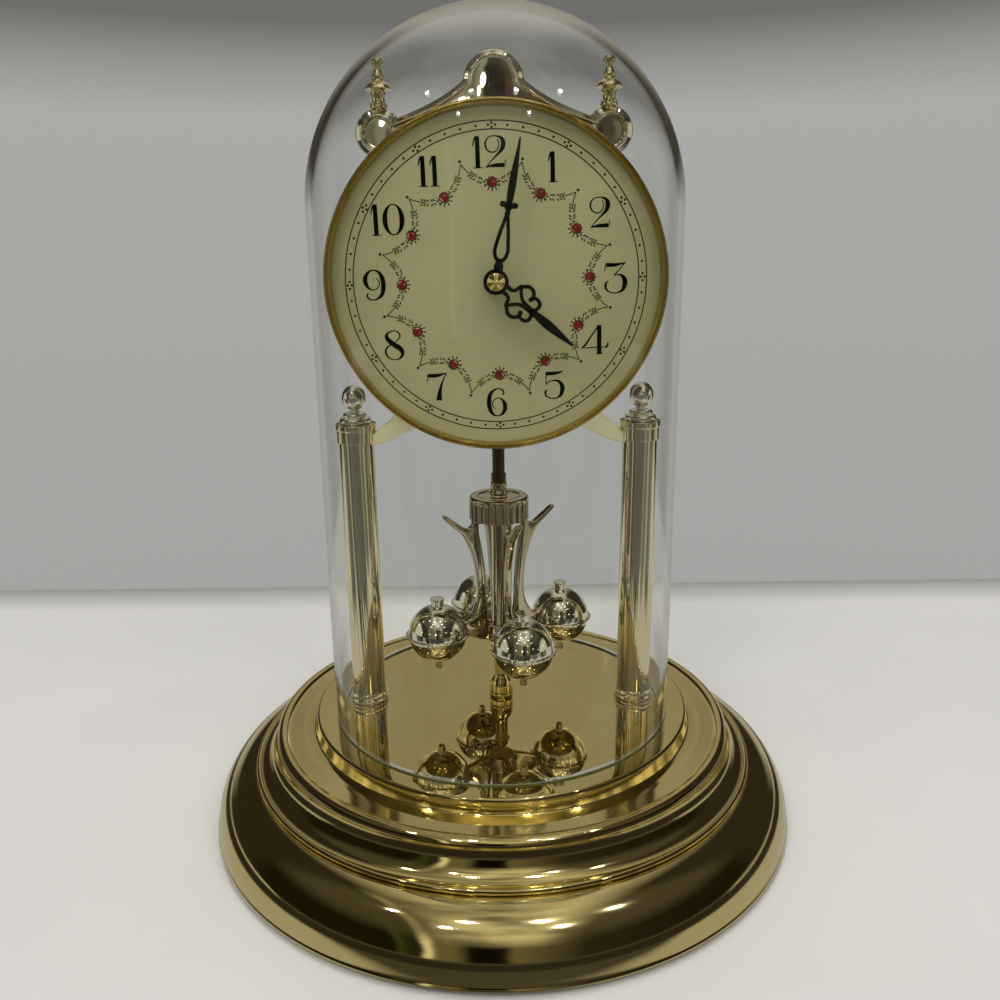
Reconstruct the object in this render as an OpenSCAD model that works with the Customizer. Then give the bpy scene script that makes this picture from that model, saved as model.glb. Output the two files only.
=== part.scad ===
// Anniversary desk clock: stepped round base, glass dome, two pillars, round dial,
// quartz movement and a rotating pendulum with four balls.
// Millimetres. The clock faces -Y, +Z is up, the origin is the middle of the base on the table.

/* [Base] */
// Outer diameter of the base at its rim
base_d = 190; // [180:1:210]
// Height of the mirror deck above the table
deck_z = 35; // [34:0.5:45]
// Width of the flat mirror deck outside the glass
deck_rim = 5.7; // [4:0.1:8]
// Thickness of the spun brass shell
shell_wall = 1.2; // [0.8:0.1:1.6]
// Height of the felt pads below the rim
pad_h = 2; // [1:0.5:4]
// Diameter of a felt pad
pad_d = 14; // [8:1:20]

/* [Pillars] */
// Room between a pillar's foot and the glass
pillar_gap = 1.7; // [1:0.1:3]
// Outer diameter of a pillar tube
pillar_d = 10.7; // [8:0.1:11]
// Wall of a pillar tube
pillar_wall = 0.8; // [0.5:0.1:1.5]
// Drop of the pillars' tops below the bezel
pillar_drop = 2.3; // [1:0.1:6]
// Diameter of the tie rod inside a pillar
tie_d = 4; // [3:0.1:5]

/* [Head] */
// Outer diameter of the bezel
bezel_d = 96; // [95:0.5:97]
// Width of the bezel's visible ring
bezel_w = 2.35; // [1.5:0.05:3]
// Outer diameter of the movement's drum
drum_d = 80; // [79:0.2:81]
// Wall of the drum
drum_wall = 1.5; // [1:0.1:2]
// Length of the minute hand from its axis
minute_len = 38.8; // [34:0.1:42]
// Length of the hour hand from its axis
hour_len = 27.8; // [25:0.1:32]

/* [Pendulum] */
// Height of the balls' centres above the deck
ball_lift = 26.5; // [24:0.5:30]
// Diameter of a ball
ball_d = 19; // [16:0.5:22]
// Radius of the circle on which the balls turn
ball_ring = 21.4; // [20:0.1:26]
// Angle of the first arm from the clock's right-hand side
arm_turn = 19.2; // [0:0.1:45]
// Diameter of the fluted cap
cap_d = 19; // [18:0.5:21]
// Drop of the cap's flat top below the bezel
cap_drop = 18.7; // [16:0.1:21]
// Diameter of the suspension rod
rod_d = 3.9; // [3:0.1:4.4]

/* [Dome] */
// Room between the bezel's edge and the glass
dome_gap = 5; // [4.6:0.1:8]
// Thickness of the glass
dome_wall = 2; // [1.6:0.1:2.4]
// Overall height of the clock with the dome on
overall_h = 247; // [246:0.5:260]

/* [Fits] */
// Radial clearance of a turning shaft in its bore
run_gap = 0.06; // [0.03:0.01:0.1]
// Clearance between fixed pieces that slide together
seat_gap = 0.1; // [0.05:0.01:0.2]

/* [Hidden] */
$fn = 96;
eps = 0.01;

brass = "#b59a45";
pale = "#cfc79a";
chrome = "#c9c6bd";
steel = "#9a9a9a";
black = "#16140f";

// Main places, worked out from the leading sizes
bezel_r = bezel_d / 2;
dome_r = bezel_r + dome_gap + dome_wall;
dome_turn_z = overall_h - dome_r;
dial_part = 0.41;
dial_z = dome_turn_z - dial_part * bezel_r;
pillar_top = dial_z - bezel_r - pillar_drop;
pillar_h = pillar_top - deck_z;
foot_d = pillar_d + 2.3;
pillar_x = dome_r - dome_wall - pillar_gap - foot_d / 2;
cap_top = dial_z - bezel_r - cap_drop;
ball_z = deck_z + ball_lift;

// Base: radii and heights of the mouldings, from the rim up to the deck
base_r = base_d / 2;
deck_r = dome_r + deck_rim;
step_w = base_r - deck_r;
ring_part = 0.408;
shelf_part = 0.286;
bead_part = 0.114;
lip_w = 2.4;
lip_top = pad_h + 1.4;
ring_r = base_r - ring_part * step_w;
ring_z = deck_z - 14.1;
groove = 1.2;
bell_c = ring_r - groove;
bell_a = base_r - lip_w - bell_c;
bell_b = ring_z - 1.4 - lip_top;
wall_slope = 1.6;
wall_foot_z = deck_z - 4.6;
shelf_r = deck_r + shelf_part * step_w;
bead_r = shelf_r + bead_part * step_w;
bead_z = wall_foot_z - 2;
cove_a = ring_r - bead_r;
cove_b = bead_z - ring_z;
edge_r = 0.4;

bell_steps = 14;
function bell(dr, dz) = [for (i = [0 : bell_steps])
  let (t = 90 * i / bell_steps) [bell_c - dr + bell_a * cos(t), lip_top - dz + bell_b * sin(t)]];
function cove() = [for (i = [0 : 10])
  let (t = 90 - 9 * i) [ring_r - cove_a * cos(t), bead_z - cove_b * sin(t)]];
function bead() = [for (i = [0 : 8])
  let (t = 180 * i / 8)
  [(bead_r + shelf_r) / 2 + (bead_r - shelf_r) / 2 * cos(t),
   bead_z + (wall_foot_z - 0.6 - bead_z) * i / 8 + 1.1 * sin(t)]];
shell_under = deck_z - shell_wall;

module base_shell() {
  outer = concat([[base_r, pad_h], [base_r, lip_top - 0.5], [base_r - 0.5, lip_top]],
    bell(0, 0),
    [[ring_r - 0.2, ring_z - 1.2], [ring_r, ring_z - 1]], cove(), bead(),
    [[deck_r + wall_slope, wall_foot_z], [deck_r, deck_z - edge_r], [deck_r - edge_r, deck_z]]);
  inner = concat([[0, deck_z], [0, shell_under], [deck_r - shell_wall, shell_under],
    [deck_r + wall_slope - shell_wall, wall_foot_z - shell_wall],
    [shelf_r - shell_wall, bead_z - shell_wall],
    [bead_r - shell_wall - 0.6, bead_z - shell_wall - 1.4]],
    [for (i = [bell_steps : -1 : 0]) bell(shell_wall, shell_wall)[i]],
    [[base_r - lip_w - shell_wall, pad_h]]);
  color(brass) difference() {
    rotate_extrude() polygon(concat(outer, inner));
    for (x = [-pillar_x, 0, pillar_x])
      translate([x, 0, shell_under - 1]) cylinder(d = tie_d + 2 * seat_gap, h = shell_wall + 2);
  }
}

// The bottom plate closes the shell and hangs on three screws under the deck
plate_t = 1.6;
plate_r = base_r - lip_w - shell_wall - 1.2;
screw_ring = deck_r - 14;
screw_d = 3;
function spoke(r, a, z) = [r * cos(a), r * sin(a), z];
module at_spokes(r, z) {
  for (a = [90, 210, 330])
    translate(spoke(r, a, z)) children();
}
module base_plate() {
  color("#4a3a2a") difference() {
    union() {
      translate([0, 0, pad_h]) cylinder(r = plate_r, h = plate_t);
      at_spokes(screw_ring, pad_h) cylinder(d = screw_d + 5, h = shell_under - pad_h);
    }
    at_spokes(screw_ring, pad_h - 1) cylinder(d = screw_d + 2 * seat_gap, h = deck_z);
    at_spokes(screw_ring, pad_h - 1) cylinder(d = screw_d + 3.4, h = 3);
  }
}

// Felt pads that the clock stands on
module base_pads() {
  color("#2c3a2a") at_spokes(plate_r - pad_d / 2 - 2, 0) cylinder(d = pad_d, h = pad_h);
}

// Three screws that hold the bottom plate
module plate_screws() {
  color(steel) at_spokes(screw_ring, pad_h + 0.2) {
    cylinder(d = screw_d + 2.6, h = 1.8);
    cylinder(d = screw_d, h = shell_under - pad_h - 1.2);
  }
}

// Guide post on the deck, under the pendulum
post_r = 3.8;
post_neck_r = 2.1;
post_top = ball_z - 8;
nut_h = 3.2;
stud_drop = shell_wall + nut_h + 1.2;
module guide_post() {
  color(brass) {
    rotate_extrude() polygon([[0, deck_z], [post_r, deck_z], [post_r, deck_z + 1.2],
      [post_r - 0.5, deck_z + 2.6], [post_neck_r, deck_z + 5.2], [post_neck_r, post_top - 0.8],
      [post_neck_r - 0.8, post_top], [0, post_top]]);
    translate([0, 0, deck_z - stud_drop]) cylinder(d = tie_d, h = stud_drop + 1);
  }
}
module deck_nuts() {
  color(steel) for (x = [-pillar_x, 0, pillar_x])
    translate([x, 0, shell_under - nut_h]) difference() {
      cylinder(d = tie_d * 1.9, h = nut_h, $fn = 6);
      translate([0, 0, -1]) cylinder(d = tie_d + 2 * seat_gap, h = nut_h + 2);
    }
}

// Pillars: tubes on foot rings, held by tie rods between the deck and the ball finials
foot_h = 3.7;
drum_cap_h = 5;
capital_top = pillar_top + drum_cap_h;
capital_d = pillar_d + 0.9;
module pillar(side) {
  color(pale) translate([side * pillar_x, 0, deck_z]) difference() {
    cylinder(d = pillar_d, h = pillar_h);
    translate([0, 0, -1]) cylinder(d = pillar_d - 2 * pillar_wall, h = pillar_h + 2);
  }
}
module pillar_left() { pillar(-1); }
module pillar_right() { pillar(1); }
module pillar_feet() {
  bore = pillar_d / 2 + seat_gap / 2;
  color(pale) for (side = [-1, 1])
    translate([side * pillar_x, 0, deck_z]) rotate_extrude() polygon([[bore, 0], [foot_d / 2, 0],
      [foot_d / 2, 1.2], [foot_d / 2 - 0.5, 1.7], [foot_d / 2 - 0.2, 2.4],
      [foot_d / 2 - 0.5, foot_h - 0.4], [bore + 0.3, foot_h], [bore, foot_h]]);
}
tie_rise = 3.2;
module tie_rods() {
  color(steel) for (side = [-1, 1])
    translate([side * pillar_x, 0, deck_z - stud_drop])
      cylinder(d = tie_d, h = stud_drop + pillar_h + drum_cap_h + tie_rise);
}
finial_ball = 3.75;
finial_h = 14.3;
module finial(side) {
  socket = tie_d / 2 + seat_gap;
  flange = [[0, 0], [4.9, 0], [5.2, 0.7], [5.2, 1.5], [4.6, 2.3], [3.9, 2.6], [3.9, 3.6],
    [3, 4.4], [1.8, 4.8], [1.7, 5.6], [2.2, 6.4], [2.2, 7.5], [0, 7.5]];
  color(pale) translate([side * pillar_x, 0, capital_top]) {
    difference() {
      union() {
        rotate_extrude() polygon(flange);
        translate([0, 0, finial_h - finial_ball]) sphere(finial_ball);
      }
      translate([0, 0, -1]) cylinder(r = socket, h = tie_rise + 1.3);
    }
  }
}
module finial_left() { finial(-1); }
module finial_right() { finial(1); }

// Flat pieces of the head are drawn in the dial's plane and laid between two depths
module slab(front, back) {
  translate([0, back, dial_z]) rotate([90, 0, 0]) linear_extrude(back - front) children();
}
module turned_y() {
  translate([0, 0, dial_z]) rotate([90, 0, 0]) rotate_extrude() children();
}

// Bridge: two capitals, two rising arms and the hoop round the drum
drum_r = drum_d / 2;
hoop_in = drum_r + seat_gap;
hoop_out = hoop_in + 3.3;
bridge_t = 5;
arm_root = pillar_x - capital_d / 2 + 1.2;
function hoop_pt(a) = [(hoop_out - 1) * sin(a), -(hoop_out - 1) * cos(a)];
module bridge_arm() {
  low = pillar_top - dial_z;
  polygon([[arm_root, low], [arm_root, low + 4.4], [arm_root - 7.2, low + 8.6], hoop_pt(38),
    hoop_pt(24), [arm_root - 13.2, low + 5.2], [arm_root - 6, low + 1.6]]);
}
module movement_bridge() {
  color(pale) difference() {
    union() {
      slab(-bridge_t / 2, bridge_t / 2) difference() {
        union() {
          circle(hoop_out);
          bridge_arm();
          mirror([1, 0]) bridge_arm();
        }
        circle(hoop_in);
      }
      for (side = [-1, 1])
        translate([side * pillar_x, 0, pillar_top]) {
          cylinder(d = capital_d, h = drum_cap_h);
          translate([0, 0, drum_cap_h - 1.6]) cylinder(d = capital_d + 0.5, h = 1.6);
        }
    }
    for (side = [-1, 1])
      translate([side * pillar_x, 0, pillar_top - 1])
        cylinder(d = tie_d + 2 * seat_gap, h = drum_cap_h + 2);
    translate([0, 0, dial_z - hoop_out - 1]) cylinder(r = rod_hole, h = hoop_out - hoop_in + 3);
    translate([0, 0, dial_z]) rotate([0, 90, 0])
      cylinder(d = hoop_screw + 2 * seat_gap, h = 3 * drum_d, center = true);
  }
}

// Two screws that hold the drum in the hoop
hoop_screw = 2.5;
module bridge_screws() {
  reach = hoop_out - drum_r + drum_wall;
  color(steel) for (side = [-1, 1])
    translate([side * (drum_r - drum_wall), 0, dial_z]) rotate([0, side * 90, 0]) {
      cylinder(d = hoop_screw, h = reach + 0.5);
      translate([0, 0, reach + 0.2]) cylinder(d = hoop_screw + 2.5, h = 1.5);
    }
}

// Depths in the head, from the case's front wall
dial_t = 0.8;
case_front = -15.2;
case_back = 9;
front_wall = 1;
inside = case_front + front_wall;
dial_front = case_front - dial_t;
bezel_in = bezel_r - bezel_w;
bezel_front = dial_front - 3.5;
bezel_back = case_front + 1;
bush_r = 3;
arbor_r = 0.75;
pipe_in = arbor_r + run_gap;
pipe_r = 1.7;
hour_back = dial_front - 5.2;
hour_t = 0.7;
hour_front = hour_back - hour_t;
minute_back = hour_front - 1.4;
minute_t = 0.6;
minute_front = minute_back - minute_t;
rod_hole = rod_d / 2 + 0.6;

// Drum: a cup with the centre bush in front and the battery's cradle inside. What fills the drum
// is drawn on a grid of 40 units to the drum's radius.
drum_grid = 40;
fill = drum_r / drum_grid;
batt_d = 14.5 * fill;
batt_l = 50.5 * fill;
batt_nub = 1.5;
batt_v = 21 * fill;
batt_y = -3;
contact_t = 0.8;
contact_gap = 0.3;
rib_t = 1.5;
rib_u = batt_l / 2 + contact_gap + contact_t;
cradle_u = 16;
drum_in = drum_r - drum_wall;
module cradle() {
  for (side = [-1, 1]) {
    translate([side * (rib_u + rib_t / 2) - rib_t / 2, inside - eps, dial_z + batt_v - 6])
      cube([rib_t, batt_y + 5 - inside, 11]);
    difference() {
      translate([side * cradle_u - 1, inside - eps, dial_z + batt_v - 8.6])
        cube([2, batt_y - inside, 12]);
      translate([0, batt_y, dial_z + batt_v]) rotate([0, 90, 0])
        cylinder(d = batt_d + 2 * contact_gap, h = 2 * batt_l, center = true);
    }
  }
}
module drum_case() {
  color("#8a8a86") difference() {
    union() {
      difference() {
        slab(case_front, case_back) circle(drum_r);
        slab(inside, case_back + 1) circle(drum_in);
      }
      slab(dial_front - 3.2, case_front + eps) circle(bush_r);
      cradle();
    }
    slab(inside - 0.7, inside + eps) translate(minute_wheel_at) circle(pivot_r + run_gap);
    slab(dial_front - 5, inside + 1) circle(pipe_r + run_gap);
    translate([0, 0, dial_z - drum_r - 1]) cylinder(r = rod_hole, h = 2 * drum_wall + 2);
    translate([0, 0, dial_z]) rotate([0, 90, 0])
      cylinder(d = hoop_screw + 2 * seat_gap, h = drum_d + 2, center = true);
  }
}
module bezel() {
  r0 = bezel_in;
  r1 = bezel_r;
  rebate = bezel_r - 0.7;
  color(brass) turned_y() polygon([[r0, -dial_front], [r0, -dial_front + 1.1],
    [r0 + 0.4, -bezel_front - 0.8], [r0 + 0.9, -bezel_front - 0.1], [r0 + 1.3, -bezel_front],
    [r1 - 0.6, -bezel_front - 0.3], [r1 - 0.15, -bezel_front - 0.9], [r1, -bezel_front - 1.7],
    [r1, -bezel_back], [rebate, -bezel_back], [rebate, -dial_front]]);
}
module dial_plate() {
  color("#c9c49a") slab(dial_front, case_front) difference() {
    circle(bezel_r - 0.7 - seat_gap);
    circle(bush_r + seat_gap);
  }
}

// Crest: a humped ornament behind the bezel's top, with a round boss at each end,
// drawn on a grid of 48 units to the bezel's radius
crest_front = bezel_back;
crest_t = 3.2;
crest_back = crest_front + crest_t;
crest_grid = 48;
unit = bezel_r / crest_grid;
hump_r = 8.3 * unit;
hump_v = bezel_r + 12.7 * unit - hump_r;
boss_u = 31.9 * unit;
boss_v = 39.8 * unit;
boss_r = 5.9 * unit;
function curve(a, b, c, n) = [for (i = [0 : n])
  let (t = i / n) a * (1 - t) * (1 - t) + b * 2 * t * (1 - t) + c * t * t];
module crest_outline() {
  sweep_a = [8.1, 54] * unit;
  sweep_b = [14, 48.2] * unit;
  sweep_c = [27.3, 43.3] * unit;
  right = curve(sweep_a, sweep_b, sweep_c, 12);
  difference() {
    union() {
      polygon(concat([[-sweep_c[0], boss_v / 2], [sweep_c[0], boss_v / 2]],
        [for (i = [12 : -1 : 0]) right[i]], [for (p = right) [-p[0], p[1]]]));
      translate([0, hump_v]) circle(hump_r);
      for (side = [-1, 1])
        translate([side * boss_u, boss_v]) circle(boss_r);
      intersection() {
        circle(bezel_r - 0.6);
        polygon([[0, 0], [-boss_u * 1.4, boss_v * 1.4], [boss_u * 1.4, boss_v * 1.4]]);
      }
    }
    circle(hoop_in);
  }
}
finial_stud = 0.7;
crest_mid = (crest_front + crest_back) / 2;
finial_base = dial_z + boss_v + boss_r;
module crest() {
  color(pale) difference() {
    slab(crest_front, crest_back) crest_outline();
    slab(crest_front - 1, crest_front + 0.6) {
      translate([0, hump_v]) circle(hump_r - 2.2 * unit);
      for (side = [-1, 1])
        translate([side * boss_u, boss_v]) circle(boss_r - 1.4 * unit);
    }
    for (side = [-1, 1])
      translate([side * boss_u, crest_mid, finial_base - 2.4])
        cylinder(r = finial_stud + seat_gap / 2, h = 4);
  }
}
module crest_finials() {
  spire = [[0, 0], [2.2, 0], [2.2, 0.9], [1.7, 1.5], [1.5, 3], [2, 4], [2.1, 4.6], [3.8, 5],
    [3.4, 5.8], [2, 6.8], [1.7, 7.6], [1.8, 8.2], [1.2, 9.2], [0.9, 10.2], [1.5, 11],
    [1.6, 11.8], [1.2, 12.8], [0, 13.3]];
  color(pale) for (side = [-1, 1])
    translate([side * boss_u, crest_mid, finial_base]) {
      rotate_extrude() polygon(spire * unit);
      translate([0, 0, -2.2]) cylinder(r = finial_stud, h = 2.4);
    }
}

// Rear cover with the battery door in its upper half
cover_t = 1.2;
cover_back = case_back + cover_t;
door_w = 52 * fill;
door_low = batt_v - 8 * fill;
door_high = batt_v + 8 * fill;
door_gap = 0.35;
hinge_r = 0.6;
knuckle_r = 1.3;
hinge_u = door_w / 2 - 3;
hinge_y = cover_back + knuckle_r + 0.4;
hinge_v = door_low + knuckle_r;
knob_shaft = 1;
cover_screw_u = 30 * fill;
cover_screw_v = -21 * fill;
cover_screw_r = 0.55;
cover_head_r = 2.2;
lug_r = 1.8;
module rear_cover() {
  color("#6d6d6a") difference() {
    union() {
      slab(case_back, cover_back) circle(drum_r);
      for (side = [-1, 1]) {
        translate([side * (hinge_u + 1.6), hinge_y, dial_z + hinge_v]) rotate([0, 90, 0])
          cylinder(r = knuckle_r, h = 1.6, center = true);
        translate([side * (hinge_u + 1.6) - 0.8, cover_back - eps, dial_z + hinge_v - knuckle_r])
          cube([1.6, hinge_y - cover_back + eps, 2 * knuckle_r]);
        translate([side * (hinge_u + 1.2), hinge_y, dial_z + hinge_v]) rotate([0, -side * 90, 0])
          cylinder(r = hinge_r, h = 3.4);
      }
      for (side = [-1, 1])
        slab(case_back - 5, case_back + eps)
          translate([side * cover_screw_u, cover_screw_v]) circle(lug_r);
    }
    slab(case_back - 1, cover_back + 1)
      polygon([[-door_w / 2 + 2, door_low + 2], [door_w / 2 - 2, door_low + 2],
        [door_w / 2 - 2, door_high - 2], [-door_w / 2 + 2, door_high - 2]]);
    slab(case_back - 1, cover_back + 1) translate(knob_at) circle(knob_shaft + run_gap);
    for (side = [-1, 1])
      slab(case_back - 6, cover_back + 1) translate([side * cover_screw_u, cover_screw_v])
        circle(cover_screw_r + seat_gap);
  }
}
module cover_screws() {
  color(steel) for (side = [-1, 1]) {
    slab(cover_back, cover_back + 1)
      translate([side * cover_screw_u, cover_screw_v]) circle(cover_head_r);
    slab(case_back - 4.5, cover_back + 0.5)
      translate([side * cover_screw_u, cover_screw_v]) circle(cover_screw_r);
  }
}
module battery_door() {
  color("#6d6d6a") difference() {
    union() {
      translate([-hinge_u + 1, cover_back + door_gap, dial_z + door_low + 2 * knuckle_r])
        cube([2 * hinge_u - 2, cover_t, door_high - door_low - 2 * knuckle_r]);
      translate([0, hinge_y, dial_z + hinge_v]) rotate([0, 90, 0])
        cylinder(r = knuckle_r, h = 2 * hinge_u - 2, center = true);
      translate([-hinge_u + 1, cover_back + door_gap, dial_z + hinge_v])
        cube([2 * hinge_u - 2, cover_t, 3 * knuckle_r]);
    }
    translate([0, hinge_y, dial_z + hinge_v]) rotate([0, 90, 0])
      cylinder(r = hinge_r + run_gap, h = door_w, center = true);
  }
}
module battery() {
  color("#3b3b3b") translate([-batt_l / 2, batt_y, dial_z + batt_v]) rotate([0, 90, 0]) {
    cylinder(d = batt_d, h = batt_l - batt_nub);
    cylinder(d = 5.5, h = batt_l);
  }
}
module battery_contacts() {
  color(brass) for (side = [-1, 1])
    translate([side * (rib_u - contact_t / 2), batt_y, dial_z + batt_v])
      cube([contact_t, 8, 10], center = true);
}

// Movement: wheels between two plates, drawn from their places in the dial's plane
pivot_r = 0.5;
front_plate_y = -11.2;
back_plate_y = -2.6;
plate_y_t = 1;
movement_r = 24 * fill;
movement_top = 11.6;
train_m = 0.25;
rotor_m = 0.2;
motion_m = 0.375;
hour_m = 0.36;
teeth_rotor = 10;
teeth_inter = 60;
teeth_inter_pinion = 10;
teeth_seconds = 50;
teeth_seconds_pinion = 8;
teeth_third = 60;
teeth_third_pinion = 8;
teeth_centre = 64;
teeth_cannon = 12;
teeth_minute = 36;
teeth_minute_pinion = 10;
teeth_hour = 40;
function polar(r, a) = [r * cos(a), r * sin(a)];
dir_third = -30;
dir_seconds = -120;
dir_inter = 170;
dir_rotor = 165;
dir_minute = 90;
dir_knob = 200;
third_at = polar(train_m * (teeth_centre + teeth_third_pinion) / 2, dir_third);
seconds_at = third_at + polar(train_m * (teeth_third + teeth_seconds_pinion) / 2, dir_seconds);
inter_at = seconds_at + polar(train_m * (teeth_seconds + teeth_inter_pinion) / 2, dir_inter);
rotor_at = inter_at + polar(rotor_m * (teeth_inter + teeth_rotor) / 2, dir_rotor);
minute_wheel_at = polar(motion_m * (teeth_cannon + teeth_minute) / 2, dir_minute);
knob_at = minute_wheel_at + polar(motion_m * (teeth_cannon + teeth_minute) / 2, dir_knob);
post_places = [[17, 6], [-18, 8], [14, -16], [-11, -18.5]] * fill;

// Phase that puts a gap of the second gear on a tooth of the first, seen along direction a
function mesh(a, phase, n1, n2) = a + 180 - (0.5 - (a - phase) * n1 / 360) * 360 / n2;
module gear(n, m, phase) {
  tip = m * (n / 2 + 0.6);
  root = m * (n / 2 - 1.05);
  step = 360 / n;
  polygon([for (i = [0 : n - 1]) for (k = [[-0.29, 0], [-0.11, 1], [0.11, 1], [0.29, 0]])
    polar(k[1] == 1 ? tip : root, phase + step * (i + k[0]))]);
}
centre_phase = dir_third;
third_pinion_phase = mesh(dir_third, centre_phase, teeth_centre, teeth_third_pinion);
third_phase = dir_seconds;
seconds_pinion_phase = mesh(dir_seconds, third_phase, teeth_third, teeth_seconds_pinion);
seconds_phase = dir_inter;
inter_pinion_phase = mesh(dir_inter, seconds_phase, teeth_seconds, teeth_inter_pinion);
inter_phase = dir_rotor;
rotor_phase = mesh(dir_rotor, inter_phase, teeth_inter, teeth_rotor);
cannon_phase = dir_minute;
minute_phase = mesh(dir_minute, cannon_phase, teeth_cannon, teeth_minute);
knob_phase = mesh(dir_knob, minute_phase, teeth_minute, teeth_cannon);
hour_phase = dir_minute;
minute_pinion_phase = mesh(dir_minute, hour_phase, teeth_hour, teeth_minute_pinion);

train_places = [third_at, seconds_at, inter_at, rotor_at];
module plate_outline(notch) {
  difference() {
    intersection() {
      circle(movement_r);
      translate([-movement_r, -movement_r]) square([2 * movement_r, movement_r + movement_top]);
    }
    for (p = train_places)
      translate(p) circle(pivot_r + run_gap);
    for (p = post_places)
      translate(p) circle(post_thin + seat_gap / 2);
    translate(knob_at) circle(knob_shaft + run_gap);
    if (notch)
      translate([-movement_r - 2, coil_low - 1]) square([movement_r - 13.8, coil_l + 2]);
  }
}
module front_plate() {
  color(brass) slab(front_plate_y, front_plate_y + plate_y_t) difference() {
    plate_outline(false);
    circle(arbor_r + run_gap);
    translate(minute_wheel_at) circle(pivot_r + run_gap);
  }
}
arbor_thin = 0.45;
module back_plate() {
  color(brass) slab(back_plate_y, back_plate_y + plate_y_t) difference() {
    plate_outline(true);
    circle(arbor_thin + run_gap);
  }
}
post_wide = 1.6;
post_thin = 1;
post_head = 0.8;
post_end = back_plate_y + plate_y_t + post_head;
module plate_posts() {
  color(steel) for (p = post_places) {
    slab(inside, front_plate_y) translate(p) circle(post_wide);
    slab(inside, post_end) translate(p) circle(post_thin);
    slab(front_plate_y + plate_y_t, back_plate_y) translate(p) circle(post_wide);
    slab(post_end - post_head, post_end) translate(p) circle(post_wide + 0.3);
  }
}

// Stepping motor: stator with the coil on its core, and the rotor's magnet in the ring
stator_y = -5;
stator_t = 0.8;
core_u = -20.5;
coil_low = -6.6;
coil_l = 7.6;
coil_r = 3.4;
rotor_r = 2.8;
module stator() {
  color(steel) slab(stator_y, stator_y + stator_t) difference() {
    union() {
      translate(rotor_at) circle(rotor_r + 3);
      translate([core_u - 1.5, rotor_at[1] - 1.8]) square([rotor_at[0] - core_u, 3.6]);
      translate([core_u - 1.5, rotor_at[1] - 1.8]) square([3, 14.6]);
      translate([core_u - 1.5, rotor_at[1] + 10]) square([rotor_at[0] - core_u, 2.8]);
      translate([rotor_at[0] - 4.3, rotor_at[1]]) square([2.8, 12.8]);
    }
    translate(rotor_at) circle(rotor_r + 0.6);
  }
}
module motor_coil() {
  color("#8c4a25") translate([core_u, stator_y + stator_t / 2, dial_z + coil_low]) difference() {
    cylinder(r = coil_r, h = coil_l);
    translate([-1.5 - seat_gap, -stator_t / 2 - seat_gap, -1])
      cube([3 + 2 * seat_gap, stator_t + 2 * seat_gap, coil_l + 2]);
  }
}
// Depths of the train's layers: each wheel drives the pinion of the layer in front of it
layer = 1.2;
wheel_t = 0.7;
pinion_t = 1.4;
pinion_reach = 1.3;
centre_y = front_plate_y + plate_y_t + 0.3;
third_y = centre_y + layer;
seconds_y = third_y + layer;
inter_y = seconds_y + layer;
magnet_y = inter_y + wheel_t + 0.3;
magnet_t = 2;
module wheel_at(p, y, n, m, phase) {
  slab(y, y + wheel_t) translate(p) gear(n, m, phase);
}
module pinion_at(p, y, n, m, phase) {
  slab(y - pinion_reach, y - pinion_reach + pinion_t) translate(p) gear(n, m, phase);
}
module arbor(p) {
  slab(front_plate_y, back_plate_y + plate_y_t) translate(p) circle(pivot_r);
}
module rotor() {
  color("#303030") {
    arbor(rotor_at);
    slab(inter_y - 0.1, magnet_y + 0.1) translate(rotor_at) gear(teeth_rotor, rotor_m, rotor_phase);
    slab(magnet_y, magnet_y + magnet_t) translate(rotor_at) circle(rotor_r);
  }
}
module intermediate_wheel() {
  color("#e8e4d0") {
    arbor(inter_at);
    wheel_at(inter_at, inter_y, teeth_inter, rotor_m, inter_phase);
    pinion_at(inter_at, inter_y, teeth_inter_pinion, train_m, inter_pinion_phase);
  }
}
module seconds_wheel() {
  color("#e8e4d0") {
    arbor(seconds_at);
    wheel_at(seconds_at, seconds_y, teeth_seconds, train_m, seconds_phase);
    pinion_at(seconds_at, seconds_y, teeth_seconds_pinion, train_m, seconds_pinion_phase);
  }
}
module third_wheel() {
  color("#e8e4d0") {
    arbor(third_at);
    wheel_at(third_at, third_y, teeth_third, train_m, third_phase);
    pinion_at(third_at, third_y, teeth_third_pinion, train_m, third_pinion_phase);
  }
}
centre_hub = 1;
module centre_wheel() {
  color("#e8e4d0") difference() {
    union() {
      wheel_at([0, 0], centre_y, teeth_centre, train_m, centre_phase);
      slab(centre_y - 0.2, third_y - 0.2) circle(centre_hub);
    }
    slab(centre_y - 1, third_y + 1) circle(arbor_thin + run_gap);
  }
}

// Motion work under the dial: cannon, minute wheel, hour wheel and the setting pinion
nut_l = 2.8;
nut_r = 3;
cannon_y = front_plate_y - 1.3;
cannon_t = 1;
hour_y = inside + 0.3;
hour_wheel_t = 0.9;
module minute_arbor() {
  color(steel) {
    slab(minute_front - 1.8, front_plate_y + plate_y_t) circle(arbor_r);
    slab(front_plate_y, back_plate_y + plate_y_t) circle(arbor_thin);
    slab(cannon_y, cannon_y + cannon_t) gear(teeth_cannon, motion_m, cannon_phase);
  }
}
module minute_wheel() {
  color("#e8e4d0") {
    slab(inside - 0.5, front_plate_y + plate_y_t) translate(minute_wheel_at) circle(pivot_r);
    slab(cannon_y + 0.1, cannon_y + cannon_t - 0.1)
      translate(minute_wheel_at) gear(teeth_minute, motion_m, minute_phase);
    slab(hour_y, cannon_y + 0.2)
      translate(minute_wheel_at) gear(teeth_minute_pinion, hour_m, minute_pinion_phase);
  }
}
module hour_wheel() {
  color("#e8e4d0") difference() {
    union() {
      slab(hour_y, hour_y + hour_wheel_t) gear(teeth_hour, hour_m, hour_phase);
      slab(hour_front - 0.5, hour_y + hour_wheel_t) circle(pipe_r);
    }
    slab(hour_front - 2, cannon_y) circle(pipe_in);
  }
}
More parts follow.
